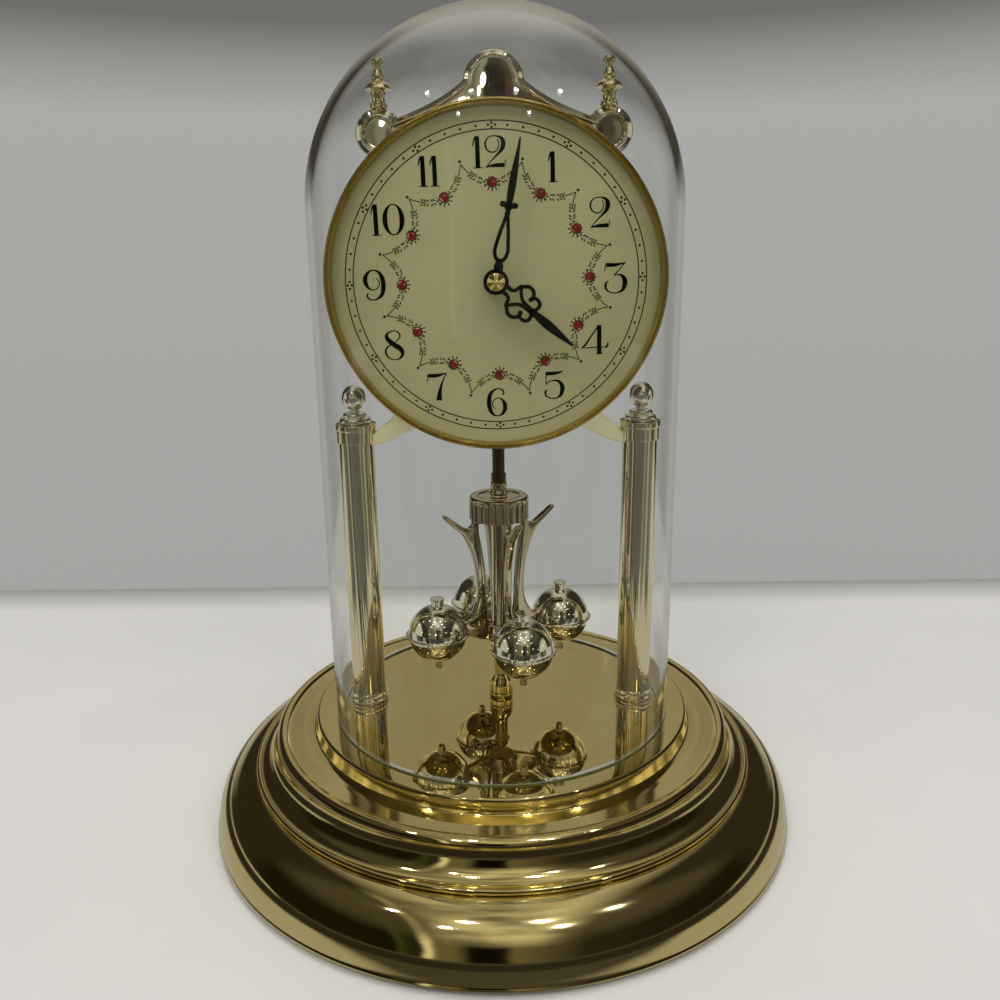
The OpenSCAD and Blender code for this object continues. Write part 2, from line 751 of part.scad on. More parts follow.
knob_r = 4;
knob_h = 4;
knob_y = cover_back + 0.4;
module set_knob() {
  color(black) {
    slab(cannon_y, cannon_y + cannon_t) translate(knob_at) gear(teeth_cannon, motion_m, knob_phase);
    slab(cannon_y, knob_y + 1) translate(knob_at) circle(knob_shaft);
    slab(knob_y, knob_y + knob_h) translate(knob_at) difference() {
      circle(knob_r);
      for (a = [0 : 18 : 342])
        translate(polar(knob_r + 0.2, a)) circle(0.45);
    }
  }
}
board_t = 1;
crystal_r = 1.5;
module circuit_board() {
  color("#2f5d34") slab(post_end, post_end + board_t)
    translate([4, -20]) square([16, 29]);
}
module quartz_crystal() {
  color(chrome) translate([12, post_end + board_t + crystal_r + 0.05, dial_z - 8])
    cylinder(r = crystal_r, h = 6);
}

// Hands: open-work outlines drawn upright, then turned to the time shown
minute_turn = 10.5;
hour_turn = 129.8;
hand_hub = 3.4;
function lens(w, r0, r1, k) = concat(
  [for (i = [0 : 24]) let (s = i / 24) [w / 2 * sin(180 * pow(s, k)), r0 + (r1 - r0) * s]],
  [for (i = [23 : -1 : 1]) let (s = i / 24) [-w / 2 * sin(180 * pow(s, k)), r0 + (r1 - r0) * s]]);
function lance(w, r0, r1) = [[0.45, r0], [w / 2, r0 + 0.25 * (r1 - r0)], [0.12, r1], [-0.12, r1],
  [-w / 2, r0 + 0.25 * (r1 - r0)], [-0.45, r0]];
module bar(w, r0, r1) {
  translate([-w / 2, r0]) square([w, r1 - r0]);
}
module minute_hand() {
  loop_end = minute_len - 20.7;
  color(black) slab(minute_front, minute_back) rotate(-minute_turn) difference() {
    union() {
      circle(hand_hub);
      bar(1.4, 0, 6.5);
      difference() {
        polygon(lens(4.4, 5.4, loop_end, 0.62));
        polygon(lens(2.7, 6.4, loop_end - 1.4, 0.62));
      }
      bar(0.9, loop_end - 1.2, loop_end + 4);
      for (side = [-1, 1])
        translate([side * 1.1, loop_end + 2.2]) circle(1.15);
      polygon(lance(2.4, loop_end + 2.8, minute_len));
    }
    circle(arbor_r + seat_gap / 2);
  }
}
module hour_hand() {
  scroll = hour_len - 19;
  color(black) slab(hour_front, hour_back) rotate(-hour_turn) difference() {
    union() {
      circle(hand_hub);
      bar(1.2, 0, scroll + 7.5);
      for (side = [-1, 1]) {
        translate([side * 2.3, scroll - 0.6]) difference() {
          circle(2.5);
          circle(1.65);
        }
        translate([side * 2, scroll + 3.4]) difference() {
          circle(2.3);
          circle(1.45);
        }
      }
      polygon(lance(2.6, scroll + 5.6, hour_len));
    }
    circle(pipe_r + seat_gap / 2);
  }
}
module hand_nut() {
  bore = arbor_r + seat_gap / 2;
  foot = -minute_front;
  color(brass) turned_y() polygon([[bore, foot], [nut_r, foot], [nut_r, foot + 0.6],
    [nut_r - 1.4, foot + nut_l], [0, foot + nut_l], [0, foot + 2], [bore, foot + 2]]);
}

// Pendulum drive: the rod turns on a thrust collar, its magnet under a fixed coil
floor_v = 6 - drum_r;
bar_v = floor_v + 6.6;
bracket_w = 26;
bracket_d = 14;
bracket_wall = 2.5;
rod_r = rod_d / 2;
collar_r = 3.2;
collar_h = 0.6;
rod_top = dial_z + bar_v - 1.1;
drive_r = 6.5;
drive_h = 2.4;
module drive_bracket() {
  color("#55554f") difference() {
    intersection() {
      slab(-bracket_d / 2, bracket_d / 2) circle(drum_in - seat_gap);
      slab(-bracket_d / 2, bracket_d / 2) translate([-bracket_w / 2, -drum_r])
        square([bracket_w, drum_r + bar_v + 1.4]);
    }
    slab(-bracket_d, bracket_d) translate([-bracket_w / 2 + bracket_wall, floor_v])
      square([bracket_w - 2 * bracket_wall, bar_v - floor_v]);
    translate([0, 0, dial_z - drum_r]) cylinder(r = rod_r + run_gap, h = drum_r + floor_v + 1);
  }
}
module drive_magnet() {
  color("#3a3a40") translate([0, 0, dial_z + floor_v + collar_h]) difference() {
    cylinder(r = drive_r, h = drive_h);
    translate([0, 0, -1]) cylinder(r = rod_r + seat_gap / 2, h = drive_h + 2);
  }
}
module drive_coil() {
  color("#8c4a25") translate([0, 0, dial_z + bar_v - drive_h]) difference() {
    cylinder(r = drive_r, h = drive_h);
    translate([0, 0, -1]) cylinder(r = rod_r + 0.8, h = drive_h + 2);
  }
}
module suspension_rod() {
  color("#4a3b28") {
    translate([0, 0, cap_top]) cylinder(r = rod_r, h = rod_top - cap_top);
    translate([0, 0, dial_z + floor_v]) cylinder(r = collar_r, h = collar_h);
  }
}

// Pendulum: fluted cap, column and four branching arms that carry the balls
neck_h = 4.3;
cap_h = 7.6;
cap_low = cap_top - cap_h;
column_r = 2.6;
hub_r = 4.6;
hub_low = ball_z - 5;
hub_h = 5.5;
arm_h = cap_low - hub_low;
arm_t = 2.7;
flutes = 26;
flute_r = 0.75;
ball_r = ball_d / 2;
seam_r = ball_r + 0.3;
module pendulum_collar() {
  bore = rod_r + seat_gap / 2;
  color(chrome) translate([0, 0, cap_top]) rotate_extrude() polygon([[bore, 0], [3, 0], [3, 1],
    [2.5, 1.8], [2.6, 2.4], [2.6, neck_h - 0.3], [2.3, neck_h], [bore, neck_h]]);
}
module pendulum_cap() {
  r = cap_d / 2;
  color(chrome) difference() {
    translate([0, 0, cap_low]) rotate_extrude()
      polygon([[0, 0], [r, 0], [r, cap_h - 0.7], [r - 0.7, cap_h], [0, cap_h]]);
    for (i = [0 : flutes - 1])
      rotate(360 * i / flutes) translate([r + flute_r / 3, 0, cap_low - 1])
        cylinder(r = flute_r, h = cap_h - 0.6, $fn = 24);
  }
}
module pendulum_column() {
  color(chrome) translate([0, 0, hub_low]) cylinder(r = column_r, h = cap_low - hub_low);
}
// One arm in its own upright plane: x is the distance from the axis, y the height,
// with heights as parts of the arm's length above the hub's foot
function on_arm(x, part) = [x, hub_low + part * arm_h];
module arm_outline() {
  seat = cap_d / 2 - 0.3;
  reach = ball_ring - ball_r + 2;
  horn = [on_arm(seat, 1), on_arm(seat + 0.2, 0.961), on_arm(seat + 1.4, 0.937), on_arm(seat + 2.6, 0.947),
    on_arm(seat + 8.8, 1.063), on_arm(seat + 9.6, 1.058), on_arm(seat + 9.7, 1.039)];
  outer = concat(curve(on_arm(seat + 3.4, 0.894), on_arm(seat - 1, 0.7), on_arm(seat - 1.2, 0.434), 8),
    curve(on_arm(seat - 1.2, 0.41), on_arm(seat - 1, 0.222), on_arm(reach, 0.159), 6),
    [on_arm(reach, 0.077), on_arm(seat - 1.7, 0.019)]);
  inner = concat([on_arm(hub_r - 0.6, 0), [hub_r - 0.6, hub_low + hub_h]],
    curve(on_arm(hub_r + 0.4, 0.374), on_arm(hub_r + 0.2, 0.639), on_arm(hub_r + 2.6, 0.904), 8));
  polygon(concat([on_arm(hub_r + 2.4, 1)], horn, outer, inner));
}
module at_balls() {
  for (i = [0 : 3])
    rotate(arm_turn + 90 * i) translate([ball_ring, 0, ball_z]) children();
}
module pendulum_arms() {
  color(chrome) difference() {
    union() {
      for (i = [0 : 3])
        rotate(arm_turn + 90 * i) translate([0, arm_t / 2, 0]) rotate([90, 0, 0])
          linear_extrude(arm_t) arm_outline();
      translate([0, 0, hub_low]) cylinder(r = hub_r, h = hub_h);
    }
    translate([0, 0, hub_low - 1]) cylinder(r = column_r + seat_gap / 2, h = cap_low);
    at_balls() sphere(seam_r + 0.05);
  }
}
ball_wall = 1.2;
nub_r = 2;
nub_h = 2.2;
pin_r = 1.2;
pin_h = 2.8;
module ball_uppers() {
  color(chrome) at_balls() {
    difference() {
      sphere(ball_r);
      sphere(ball_r - ball_wall);
      translate([0, 0, -ball_d]) cylinder(r = ball_d, h = ball_d);
    }
    translate([0, 0, ball_r - 0.4]) cylinder(r = nub_r, h = nub_h + 0.4);
    translate([0, 0, ball_r + nub_h - 0.6]) cylinder(r = nub_r + 0.3, h = 0.8);
  }
}
module ball_lowers() {
  color(chrome) at_balls() {
    difference() {
      union() {
        sphere(ball_r);
        translate([0, 0, -0.9]) cylinder(r = seam_r, h = 0.9);
      }
      sphere(ball_r - ball_wall);
      cylinder(r = ball_d, h = ball_d);
    }
    translate([0, 0, -ball_r - pin_h]) cylinder(r = pin_r, h = pin_h + 0.4);
  }
}

// Glass dome: a straight wall with a half-round top, standing on the deck
module dome_solid(r) {
  translate([0, 0, deck_z]) cylinder(r = r, h = dome_turn_z - deck_z);
  translate([0, 0, dome_turn_z]) sphere(r);
}
module glass_dome() {
  color("#dfe8e2", 0.3) difference() {
    dome_solid(dome_r);
    dome_solid(dome_r - dome_wall);
    translate([0, 0, deck_z - 1]) cylinder(r = dome_r - dome_wall, h = 2);
  }
}

base_shell();
base_plate();
base_pads();
plate_screws();
guide_post();
deck_nuts();
pillar_left();
pillar_right();
pillar_feet();
tie_rods();
finial_left();
finial_right();
movement_bridge();
bridge_screws();
drum_case();
bezel();
dial_plate();
crest();
crest_finials();
rear_cover();
cover_screws();
battery_door();
battery();
battery_contacts();
front_plate();
back_plate();
plate_posts();
stator();
motor_coil();
rotor();
intermediate_wheel();
seconds_wheel();
third_wheel();
centre_wheel();
minute_arbor();
minute_wheel();
hour_wheel();
set_knob();
circuit_board();
quartz_crystal();
hour_hand();
minute_hand();
hand_nut();
drive_bracket();
drive_coil();
drive_magnet();
suspension_rod();
pendulum_collar();
pendulum_cap();
pendulum_column();
pendulum_arms();
ball_uppers();
ball_lowers();
glass_dome();
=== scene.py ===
# %% [markdown]
# # A brass desk clock under a glass dome
# The real clock is spun brass, plated tube, printed enamel and blown glass. The imported model is loaded first and
# stays fixed: every piece below is placed from its sizes, so nothing has to be fitted by eye.

# %% Load the clock's frame
import math
import bmesh
import bpy
import numpy as np
from mathutils import Matrix


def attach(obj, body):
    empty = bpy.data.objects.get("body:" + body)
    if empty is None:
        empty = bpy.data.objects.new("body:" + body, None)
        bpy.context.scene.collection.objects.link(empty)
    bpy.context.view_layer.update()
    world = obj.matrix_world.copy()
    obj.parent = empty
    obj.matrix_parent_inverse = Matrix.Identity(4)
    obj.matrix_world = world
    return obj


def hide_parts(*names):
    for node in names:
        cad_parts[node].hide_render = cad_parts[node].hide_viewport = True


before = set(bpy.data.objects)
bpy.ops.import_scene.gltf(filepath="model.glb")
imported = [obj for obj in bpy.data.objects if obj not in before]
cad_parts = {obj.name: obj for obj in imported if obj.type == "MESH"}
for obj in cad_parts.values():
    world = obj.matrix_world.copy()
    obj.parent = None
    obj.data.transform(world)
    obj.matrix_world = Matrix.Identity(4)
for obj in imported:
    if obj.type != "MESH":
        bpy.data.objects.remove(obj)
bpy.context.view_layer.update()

MM = .001

# %% [markdown]
# ## Surfaces from grids
# A lathe-turned piece is a profile carried round an axis, and a bent strip is a section carried along a path. Both are
# grids of points, so one helper numbers the quads of any grid. Blender's own primitives could be squashed into these
# shapes, but a grid that is worked out keeps the profile exact and smooth enough for mirror-bright metal.

# %% Lines, soft corners and smooth curves
def unit(vectors):
    """Each row's direction, with the length one."""
    return vectors / np.maximum(np.linalg.norm(vectors, axis=1, keepdims=True), 1e-9)


def travel(line):
    """How far along a line each of its points lies."""
    return np.concatenate([[0], np.cumsum(np.linalg.norm(np.diff(line, axis=0), axis=1))])


def arc(centre, radii, start, end, count):
    """Part of an ellipse, in degrees from its right: (x + rx cos a, y + ry sin a)."""
    a = np.radians(np.linspace(start, end, count))
    return np.column_stack([centre[0] + radii[0] * np.cos(a), centre[1] + radii[1] * np.sin(a)])


def bent(start, corner, end, count):
    """A quadratic curve that leans on a corner b between its ends a and c: a (1-t)^2 + 2 b t (1-t) + c t^2."""
    t = np.linspace(0, 1, count)[:, None]
    return np.array(start) * (1 - t) ** 2 + 2 * np.array(corner) * t * (1 - t) + np.array(end) * t ** 2


def soften(points, radius, closed=False, steps=6):
    """Rounds each corner: a quadratic curve runs from radius before it to radius after it, leaning on the corner.
    The rounding takes at most 48% of a side, and the two ends of an open line stay where they are."""
    p = np.asarray(points, float)
    def toward(other):
        side = other - p
        length = np.maximum(np.linalg.norm(side, axis=1, keepdims=True), 1e-9)
        return p + side / length * np.minimum(radius, .48 * length)
    t = np.linspace(0, 1, steps)[None, :, None]
    before, after = toward(np.roll(p, 1, 0)), toward(np.roll(p, -1, 0))
    out = before[:, None] * (1 - t) ** 2 + 2 * p[:, None] * t * (1 - t) + after[:, None] * t ** 2
    if not closed:
        out[0], out[-1] = p[0], p[-1]
    return out.reshape(-1, p.shape[1])


def flowing(points, per=10):
    """A smooth curve through the points: on each span a cubic whose slope at a point is half the step between
    the points on either side of it. Extra columns, such as a width, flow along."""
    p = np.asarray(points, float)
    e = np.concatenate([2 * p[:1] - p[1:2], p, 2 * p[-1:] - p[-2:-1]])
    a, b, c, d = (x[:, None] for x in (e[:-3], e[1:-2], e[2:-1], e[3:]))
    t = np.linspace(0, 1, per, endpoint=False)[None, :, None]
    q = .5 * (2 * b + (c - a) * t + (2 * a - 5 * b + 4 * c - d) * t ** 2 + (3 * b - a - 3 * c + d) * t ** 3)
    return np.concatenate([q.reshape(-1, p.shape[1]), p[-1:]])


print("a square with soft corners has", len(soften([[0, 0], [1, 0], [1, 1], [0, 1]], .2, True)), "points")

# %% Grids
def grid_quads(rows, cols, wrap_rows=False, wrap_cols=True):
    """Corner numbers of each quad of a rows by cols grid; a direction that wraps goes on round to its start."""
    i = np.arange(rows - (not wrap_rows))[:, None]
    j = np.arange(cols - (not wrap_cols))[None, :]
    i2, j2 = (i + 1) % rows, (j + 1) % cols
    four = np.broadcast_arrays(i * cols + j, i * cols + j2, i2 * cols + j2, i2 * cols + j)
    return np.stack(four, -1).reshape(-1, 4)


def stood_up(flat, depth):
    """Stands a drawing (across, up) upright at a depth: (across, depth, up)."""
    return np.stack([flat[..., 0], np.broadcast_to(depth, flat.shape[:-1]), flat[..., 1]], -1)


def capped(sections):
    """Closes a sweep of sections: at each end the section draws together to its middle."""
    ends = [np.broadcast_to(sections[k].mean(0), sections[k].shape)[None] for k in (0, -1)]
    body = np.concatenate([ends[0], sections, ends[1]])
    return body.reshape(-1, 3), grid_quads(*body.shape[:2])


print("a grid of 3 by 4 that wraps has", len(grid_quads(3, 4)), "quads")

# %% Turned pieces
def turned(profile, centre=(0, 0, 0), turns=128, lying=False, wave=None, ring=False):
    """A profile of (radius, height) carried round: (r cos a, r sin a, h). Lying pieces have their axis along y, height
    to the front: (r cos a, -h, r sin a). A wave adds to the radius by angle and height; a ring's profile closes."""
    p = np.asarray(profile, float)
    a = np.linspace(0, 2 * np.pi, turns, endpoint=False) + np.pi / 2
    r = p[:, :1] + np.zeros_like(a)
    if wave is not None:
        r = r + wave(a[None, :], p[:, 1:])
    h = np.broadcast_to(p[:, 1:], r.shape)
    x, y = r * np.cos(a), r * np.sin(a)
    points = np.stack([x, -h, y] if lying else [x, y, h], -1) + np.asarray(centre, float)
    run = travel(p)
    i = np.arange(len(p) - (not ring))[:, None]
    j = np.arange(turns)[None, :]
    v0, v1 = run[i] + 0 * j, run[(i + 1) % len(p)] + 0 * j
    u = np.stack([j + 0 * i, j + 1 + 0 * i, j + 1 + 0 * i, j + 0 * i], -1) / turns
    uv = np.stack([u, np.stack([v0, v0, v1, v1], -1) / 10], -1).reshape(-1, 2)
    return points.reshape(-1, 3), grid_quads(len(p), turns, ring), uv


print("a tube turned in 12 steps has", len(turned([[1, 0], [1, 5]], turns=12)[1]), "quads")

# %% One object from its parts
def make_piece(name, parts, finish, body, stands_for=(), crease=32):
    """Joins parts (points in mm, faces, and where known each face corner's place on the pattern) into one object:
    doubles merge, which closes seams and poles, faces turn outward, and edges past the crease angle stay crisp."""
    start, points, faces, marks = 0, [], [], []
    for spots, corners, *mark in parts:
        points.append(spots)
        faces += [[int(c) + start for c in face] for face in corners]
        marks += mark or [np.zeros((sum(len(face) for face in corners), 2))]
        start += len(spots)
    mesh = bpy.data.meshes.new(name)
    mesh.from_pydata((np.concatenate(points) * MM).tolist(), [], faces)
    mesh.uv_layers.new(name="pattern").data.foreach_set("uv", np.concatenate(marks).astype(np.float32).ravel())
    bm = bmesh.new()
    bm.from_mesh(mesh)
    bmesh.ops.remove_doubles(bm, verts=bm.verts, dist=1e-6)
    bmesh.ops.dissolve_degenerate(bm, dist=1e-8, edges=bm.edges)
    bmesh.ops.recalc_face_normals(bm, faces=bm.faces)
    bm.to_mesh(mesh)
    bm.free()
    mesh.shade_smooth()
    mesh.set_sharp_from_angle(angle=math.radians(crease))
    mesh.materials.append(finish)
    piece = bpy.data.objects.new(name, mesh)
    bpy.context.scene.collection.objects.link(piece)
    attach(piece, body)
    if stands_for:
        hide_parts(*stands_for)
    print(name, "faces:", len(mesh.polygons))
    return piece


print("parts are drawn in millimetres and kept in metres, times", MM)

# %% Cut plates and bent strips
def plate(outline, front, back, edge=.5, steps=5):
    """A flat piece with rounded edges in the dial's plane: the closed outline (across, up) is repeated at depths along
    a quarter circle at each face, moved inward by edge x (1 - cos), and the last outline of each face is filled."""
    p = np.asarray(outline, float)
    ahead = np.roll(p, -1, 0)
    along = unit(ahead - np.roll(p, 1, 0))
    turn = np.sign(np.sum(p[:, 0] * ahead[:, 1] - ahead[:, 0] * p[:, 1]))
    inward = np.stack([-along[:, 1], along[:, 0]], 1) * turn
    q = np.linspace(0, np.pi / 2, steps)
    depth = np.concatenate([front + edge * (1 - np.sin(q[::-1])), back - edge * (1 - np.sin(q))])
    cut = np.concatenate([edge * (1 - np.cos(q[::-1])), edge * (1 - np.cos(q))])
    flat = p[None] + inward[None] * cut[:, None, None]
    rows, n = flat.shape[:2]
    faces = grid_quads(rows, n).tolist() + [list(range(n)), list(range((rows - 1) * n, rows * n))]
    return stood_up(flat, depth[:, None]).reshape(-1, 3), faces


def strip(line, front, back, edge=.18):
    """A flat strip along a line of (across, up, width): a rounded section, one side at +width/2 and the other at
    -width/2, is carried along it between two depths. Its ends draw in along a half circle, then close."""
    p = np.asarray(line, float)
    along = unit(np.gradient(p[:, :2], axis=0))
    q = np.linspace(0, 1, 6)[:-1]
    tips = [np.column_stack([p[k, :2] + sign * along[k] * (p[k, 2] / 2 * (1 - q))[:, None],
                             p[k, 2] * np.sqrt(1 - (1 - q) ** 2)]) for k, sign in ((0, -1), (-1, 1))]
    p = np.concatenate([tips[0], p, tips[1][::-1]])
    along = np.concatenate([np.repeat(along[:1], 5, 0), along, np.repeat(along[-1:], 5, 0)])
    side = np.stack([-along[:, 1], along[:, 0]], 1)
    half, mid = p[:, 2] / 2, (front + back) / 2
    thick = abs(back - front) / 2
    c = soften([[-1, -1], [1, -1], [1, 1], [-1, 1]], 0.0001 + edge / thick, True, 3)
    shift = np.sign(c[:, 0]) * np.maximum(half[:, None] - (1 - abs(c[:, 0])) * thick, 0)
    flat = p[:, None, :2] + side[:, None] * shift[..., None]
    return capped(stood_up(flat, mid + c[:, 1] * thick))


print("plates and strips are drawn across (x) and up, then set at a depth (y)")

# %% [markdown]
# ## Camera, table and light
# The photograph was taken close to the clock, a little above the dial and looking down, so the base looks wide and the
# dome narrow. The lens and place come from fitting the base's rings and the dial's hour marks. Polished metal shows
# its surroundings: a pale wall behind, a dim room in front with a lit patch of ceiling, a table and small round lamps.
# The dim room only shows in reflections (the path's count of mirrored bounces tells), so every view keeps a plain grey
# background and the room's darkness takes no light from the clock. A path that has gone through the glass twice comes
# from a piece inside the dome. Those pieces stand closer to the table and mirror more of it, so their room is paler.

# %% Camera as in the photograph
yaw, pitch, roll = (math.radians(v) for v in (.039, 15.26, -.699))
right = np.array([math.cos(yaw), math.sin(yaw), 0])
ahead = np.array([-math.sin(yaw), math.cos(yaw), 0]) * math.cos(pitch) - np.array([0, 0, math.sin(pitch)])
above = np.cross(right, ahead)
right, above = right * math.cos(roll) + above * math.sin(roll), above * math.cos(roll) - right * math.sin(roll)
lens = bpy.data.cameras.new("camera")
lens.sensor_width, lens.lens = 36, 33.12
lens.clip_start, lens.clip_end = .01, 50
camera = bpy.data.objects.new("camera", lens)
place = np.eye(4)
place[:3, :4] = np.column_stack([right, above, -ahead, np.array([.55, -283.85, 181.05]) * MM])
camera.matrix_world = Matrix(place.tolist())
scene = bpy.context.scene
scene.collection.objects.link(camera)
scene.camera = camera
scene.view_settings.view_transform = "Standard"
print("camera", [round(v, 4) for v in camera.location])

# %% Nodes and sums
def add_node(tree, kind, links=(), **settings):
    """Adds one node, sets its own options, then sets each named or numbered socket to a value or joins it to a
    socket."""
    node = tree.nodes.new("ShaderNode" + kind)
    for key, value in settings.items():
        setattr(node, key, value)
    for key, value in dict(links).items():
        if isinstance(value, bpy.types.NodeSocket):
            tree.links.new(value, node.inputs[key])
        else:
            node.inputs[key].default_value = value
    return node


def maths(tree, operation, *values):
    """One sum on numbers, such as a product or the larger of two."""
    return add_node(tree, "Math", dict(enumerate(values)), operation=operation).outputs[0]


def product(tree, first, *others):
    """Numbers times each other."""
    for other in others:
        first = maths(tree, "MULTIPLY", first, other)
    return first


def axis(tree, vector, name):
    """One of a vector's three numbers."""
    return add_node(tree, "SeparateXYZ", {0: vector}).outputs[name]


print("helpers for nodes:", [helper.__name__ for helper in (add_node, maths, product, axis)])

# %% Noise, spans and colours
def noise(tree, vector, scale, detail, fine=.5):
    """Cloudy noise, mostly between .3 and .7."""
    return add_node(tree, "TexNoise",
                    {"Vector": vector, "Scale": scale, "Detail": detail, "Roughness": fine}).outputs[0]


def between(tree, value, low, high, start=0, end=1):
    """Follows a value from low to high with a number that runs from start to end and stays there."""
    return add_node(tree, "MapRange", {0: value, 1: low, 2: high, 3: start, 4: end}).outputs[0]


def blend(tree, factor, first, second):
    """Mixes two tones by a factor; a tone is a linear colour or a socket."""
    first, second = ((*tone, 1) if isinstance(tone, tuple) else tone for tone in (first, second))
    return add_node(tree, "MixRGB", {0: factor, 1: first, 2: second}).outputs[0]


def colour_steps(tree, factor, steps):
    """A colour ramp through (position, linear colour) steps."""
    ramp = add_node(tree, "ValToRGB", {0: factor})
    while len(ramp.color_ramp.elements) < len(steps):
        ramp.color_ramp.elements.new(.5)
    for element, (place, colour) in zip(ramp.color_ramp.elements, steps):
        element.position, element.color = place, (*colour, 1)
    return ramp.outputs[0]


print("helpers for patterns:", [helper.__name__ for helper in (noise, between, blend, colour_steps)])

# %% Grey surroundings
world = bpy.data.worlds.new("surroundings")
scene.world = world
world.use_nodes = True
tree = world.node_tree
direction = add_node(tree, "TexCoord").outputs["Generated"]
path = add_node(tree, "LightPath").outputs
across, away, rise = (axis(tree, direction, name) for name in "XYZ")
walls = colour_steps(tree, between(tree, rise, -.5, .5), [
    (0, (.36, .36, .35)), (.63, (.40, .40, .385)), (.67, (.30, .298, .285)), (.71, (.16, .156, .148)),
    (.76, (.17, .166, .155)), (.84, (.32, .315, .30)), (1, (.34, .335, .32))])
print("greys from the floor to the ceiling:", len(walls.node.color_ramp.elements))

# %% Dim room: what stands round the clock, from left to right
GLOOM, NIGHT, BLACK = (.03, .026, .02), (.012, .01, .006), (.004, .0035, .003)
WINDOW, SHELF, DUSK, HALL = (.55, .54, .47), (.15, .14, .095), (.018, .015, .011), (.25, .245, .19)
DRAPE, PAPER, LAMP_DOT = (.06, .042, .03), (.9, .88, .8), (6, 5.8, 5.3)
CEILING = (.55, .535, .48)
wide, steep = (maths(tree, "ABSOLUTE", number) for number in (across, rise))
waver = noise(tree, direction, 3, 3)
aside = between(tree, maths(tree, "MULTIPLY_ADD", waver, .06, across), -.97, 1.03)
through = path["Transmission Depth"]
glazed = between(tree, through, 2.5, 3.5)
within = colour_steps(tree, aside, [
    (0, WINDOW), (.05, WINDOW), (.075, GLOOM), (.2, GLOOM), (.24, SHELF), (.41, SHELF), (.425, HALL), (.46, HALL),
    (.475, DUSK), (.535, DUSK), (.55, DRAPE), (.58, DRAPE), (.61, SHELF), (.67, SHELF), (.72, GLOOM), (.925, GLOOM),
    (.95, WINDOW), (1, WINDOW)])
outside = colour_steps(tree, aside, [
    (0, NIGHT), (.2, NIGHT), (.22, (.05, .06, .025)), (.24, (.02, .03, .008)), (.27, NIGHT), (.287, PAPER),
    (.296, PAPER), (.31, SHELF), (.36, SHELF), (.39, (.06, .055, .035)), (.405, BLACK), (.505, BLACK), (.53, SHELF),
    (.6, (.11, .1, .065)), (.72, GLOOM), (1, NIGHT)])
patches = noise(tree, direction, 2.6, 2)
ceiling = colour_steps(tree, patches, [(.36, (.2, .19, .155)), (.5, CEILING), (.6, (.85, .83, .75))])
ceiling = blend(tree, between(tree, wide, .2, .42), ceiling, (.09, .084, .068))
within = blend(tree, between(tree, rise, .5, .8), within, ceiling)
outside = blend(tree, between(tree, rise, .4, .65, 0, .75), outside, ceiling)
room = blend(tree, glazed, outside, within)
back_wall = colour_steps(tree, between(tree, rise, 0, 1), [
    (.17, (.045, .04, .033)), (.27, (.33, .325, .30)), (.6, (.36, .355, .33)), (1, CEILING)])
back_wall = blend(tree, between(tree, wide, .22, .42), back_wall, GLOOM)
room = blend(tree, between(tree, away, .05, .25), room, back_wall)
print("the room in the metal: a lit ceiling, a pale wall behind, a dark front")

# %% Dim room: lamps, glare on the glass and later bounces
cells = add_node(tree, "TexVoronoi", {"Vector": direction, "Scale": 6}).outputs["Distance"]
dots = product(tree, between(tree, cells, .14, .11), between(tree, away, .15, .05), between(tree, rise, .12, .17))
bulb = add_node(tree, "VectorMath", {0: direction, 1: (-.07, -.966, .25)}, operation="DISTANCE").outputs["Value"]
dots = product(tree, maths(tree, "MAXIMUM", dots, between(tree, bulb, .032, .026)), glazed)
room = blend(tree, dots, room, LAMP_DOT)
far_low = product(tree, between(tree, away, .02, .2), between(tree, rise, .16, .04))
on_glass = maths(tree, "MAXIMUM", between(tree, through, 3.5, 2.5), between(tree, rise, -.3, -.1, .7, 1))
on_glass = product(tree, far_low, on_glass, between(tree, wide, .78, .6))
room = blend(tree, on_glass, room, (.40, .417, .447))
drawn_out = add_node(tree, "Mapping", {"Vector": direction, "Scale": (1, 1, .12)}).outputs[0]
streaks = noise(tree, drawn_out, 9, 3)
glow = colour_steps(tree, streaks, [(.4, (.14, .135, .11)), (.52, (.5, .48, .4)), (.62, (1.1, 1.05, .9))])
bounces = path["Glossy Depth"]
second = product(tree, between(tree, bounces, 1, 2), between(tree, steep, .55, .35))
room = blend(tree, second, room, glow)
room = blend(tree, between(tree, bounces, 2, 3, 0, .8), room, (.06, .055, .045))
room = add_node(tree, "MixRGB", {0: 1, 1: room, 2: (1, .96, .86, 1)}, blend_type="MULTIPLY").outputs[0]
tree.links.new(blend(tree, bounces, walls, room), tree.nodes["Background"].inputs["Color"])
tree.nodes["Background"].inputs["Strength"].default_value = 1
print("nodes that make the surroundings:", len(tree.nodes))

# %% Table
def new_finish(name):
    """A new material, its node tree and its shader."""
    finish = bpy.data.materials.new(name)
    finish.use_nodes = True
    return finish, finish.node_tree, finish.node_tree.nodes["Principled BSDF"]


TABLE_HALF, TABLE_BACK = 1.6, .2
CLOTH, CLOTH_THIN = (.75, .738, .706), (.7125, .7011, .6707)
mesh = bpy.data.meshes.new("table")
mesh.from_pydata([[-TABLE_HALF, -TABLE_HALF, 0], [TABLE_HALF, -TABLE_HALF, 0], [TABLE_HALF, TABLE_BACK, 0],
                  [-TABLE_HALF, TABLE_BACK, 0]], [], [[0, 1, 2, 3]])
table = bpy.data.objects.new("table", mesh)
scene.collection.objects.link(table)
finish, nodes, shader = new_finish("table")
mesh.materials.append(finish)
spot = add_node(nodes, "TexCoord").outputs["Object"]
x, y = (axis(nodes, spot, name) for name in "XY")
cloth_and_wall_shade = colour_steps(nodes, noise(nodes, spot, 9, 5), [(.3, CLOTH_THIN), (.7, CLOTH)])
# The last strip towards the wall darkens to grey: a painted shadow where the table meets the wall.
cloth_and_wall_shade = blend(nodes, between(nodes, y, .168, TABLE_BACK), cloth_and_wall_shade, (.34, .34, .32))
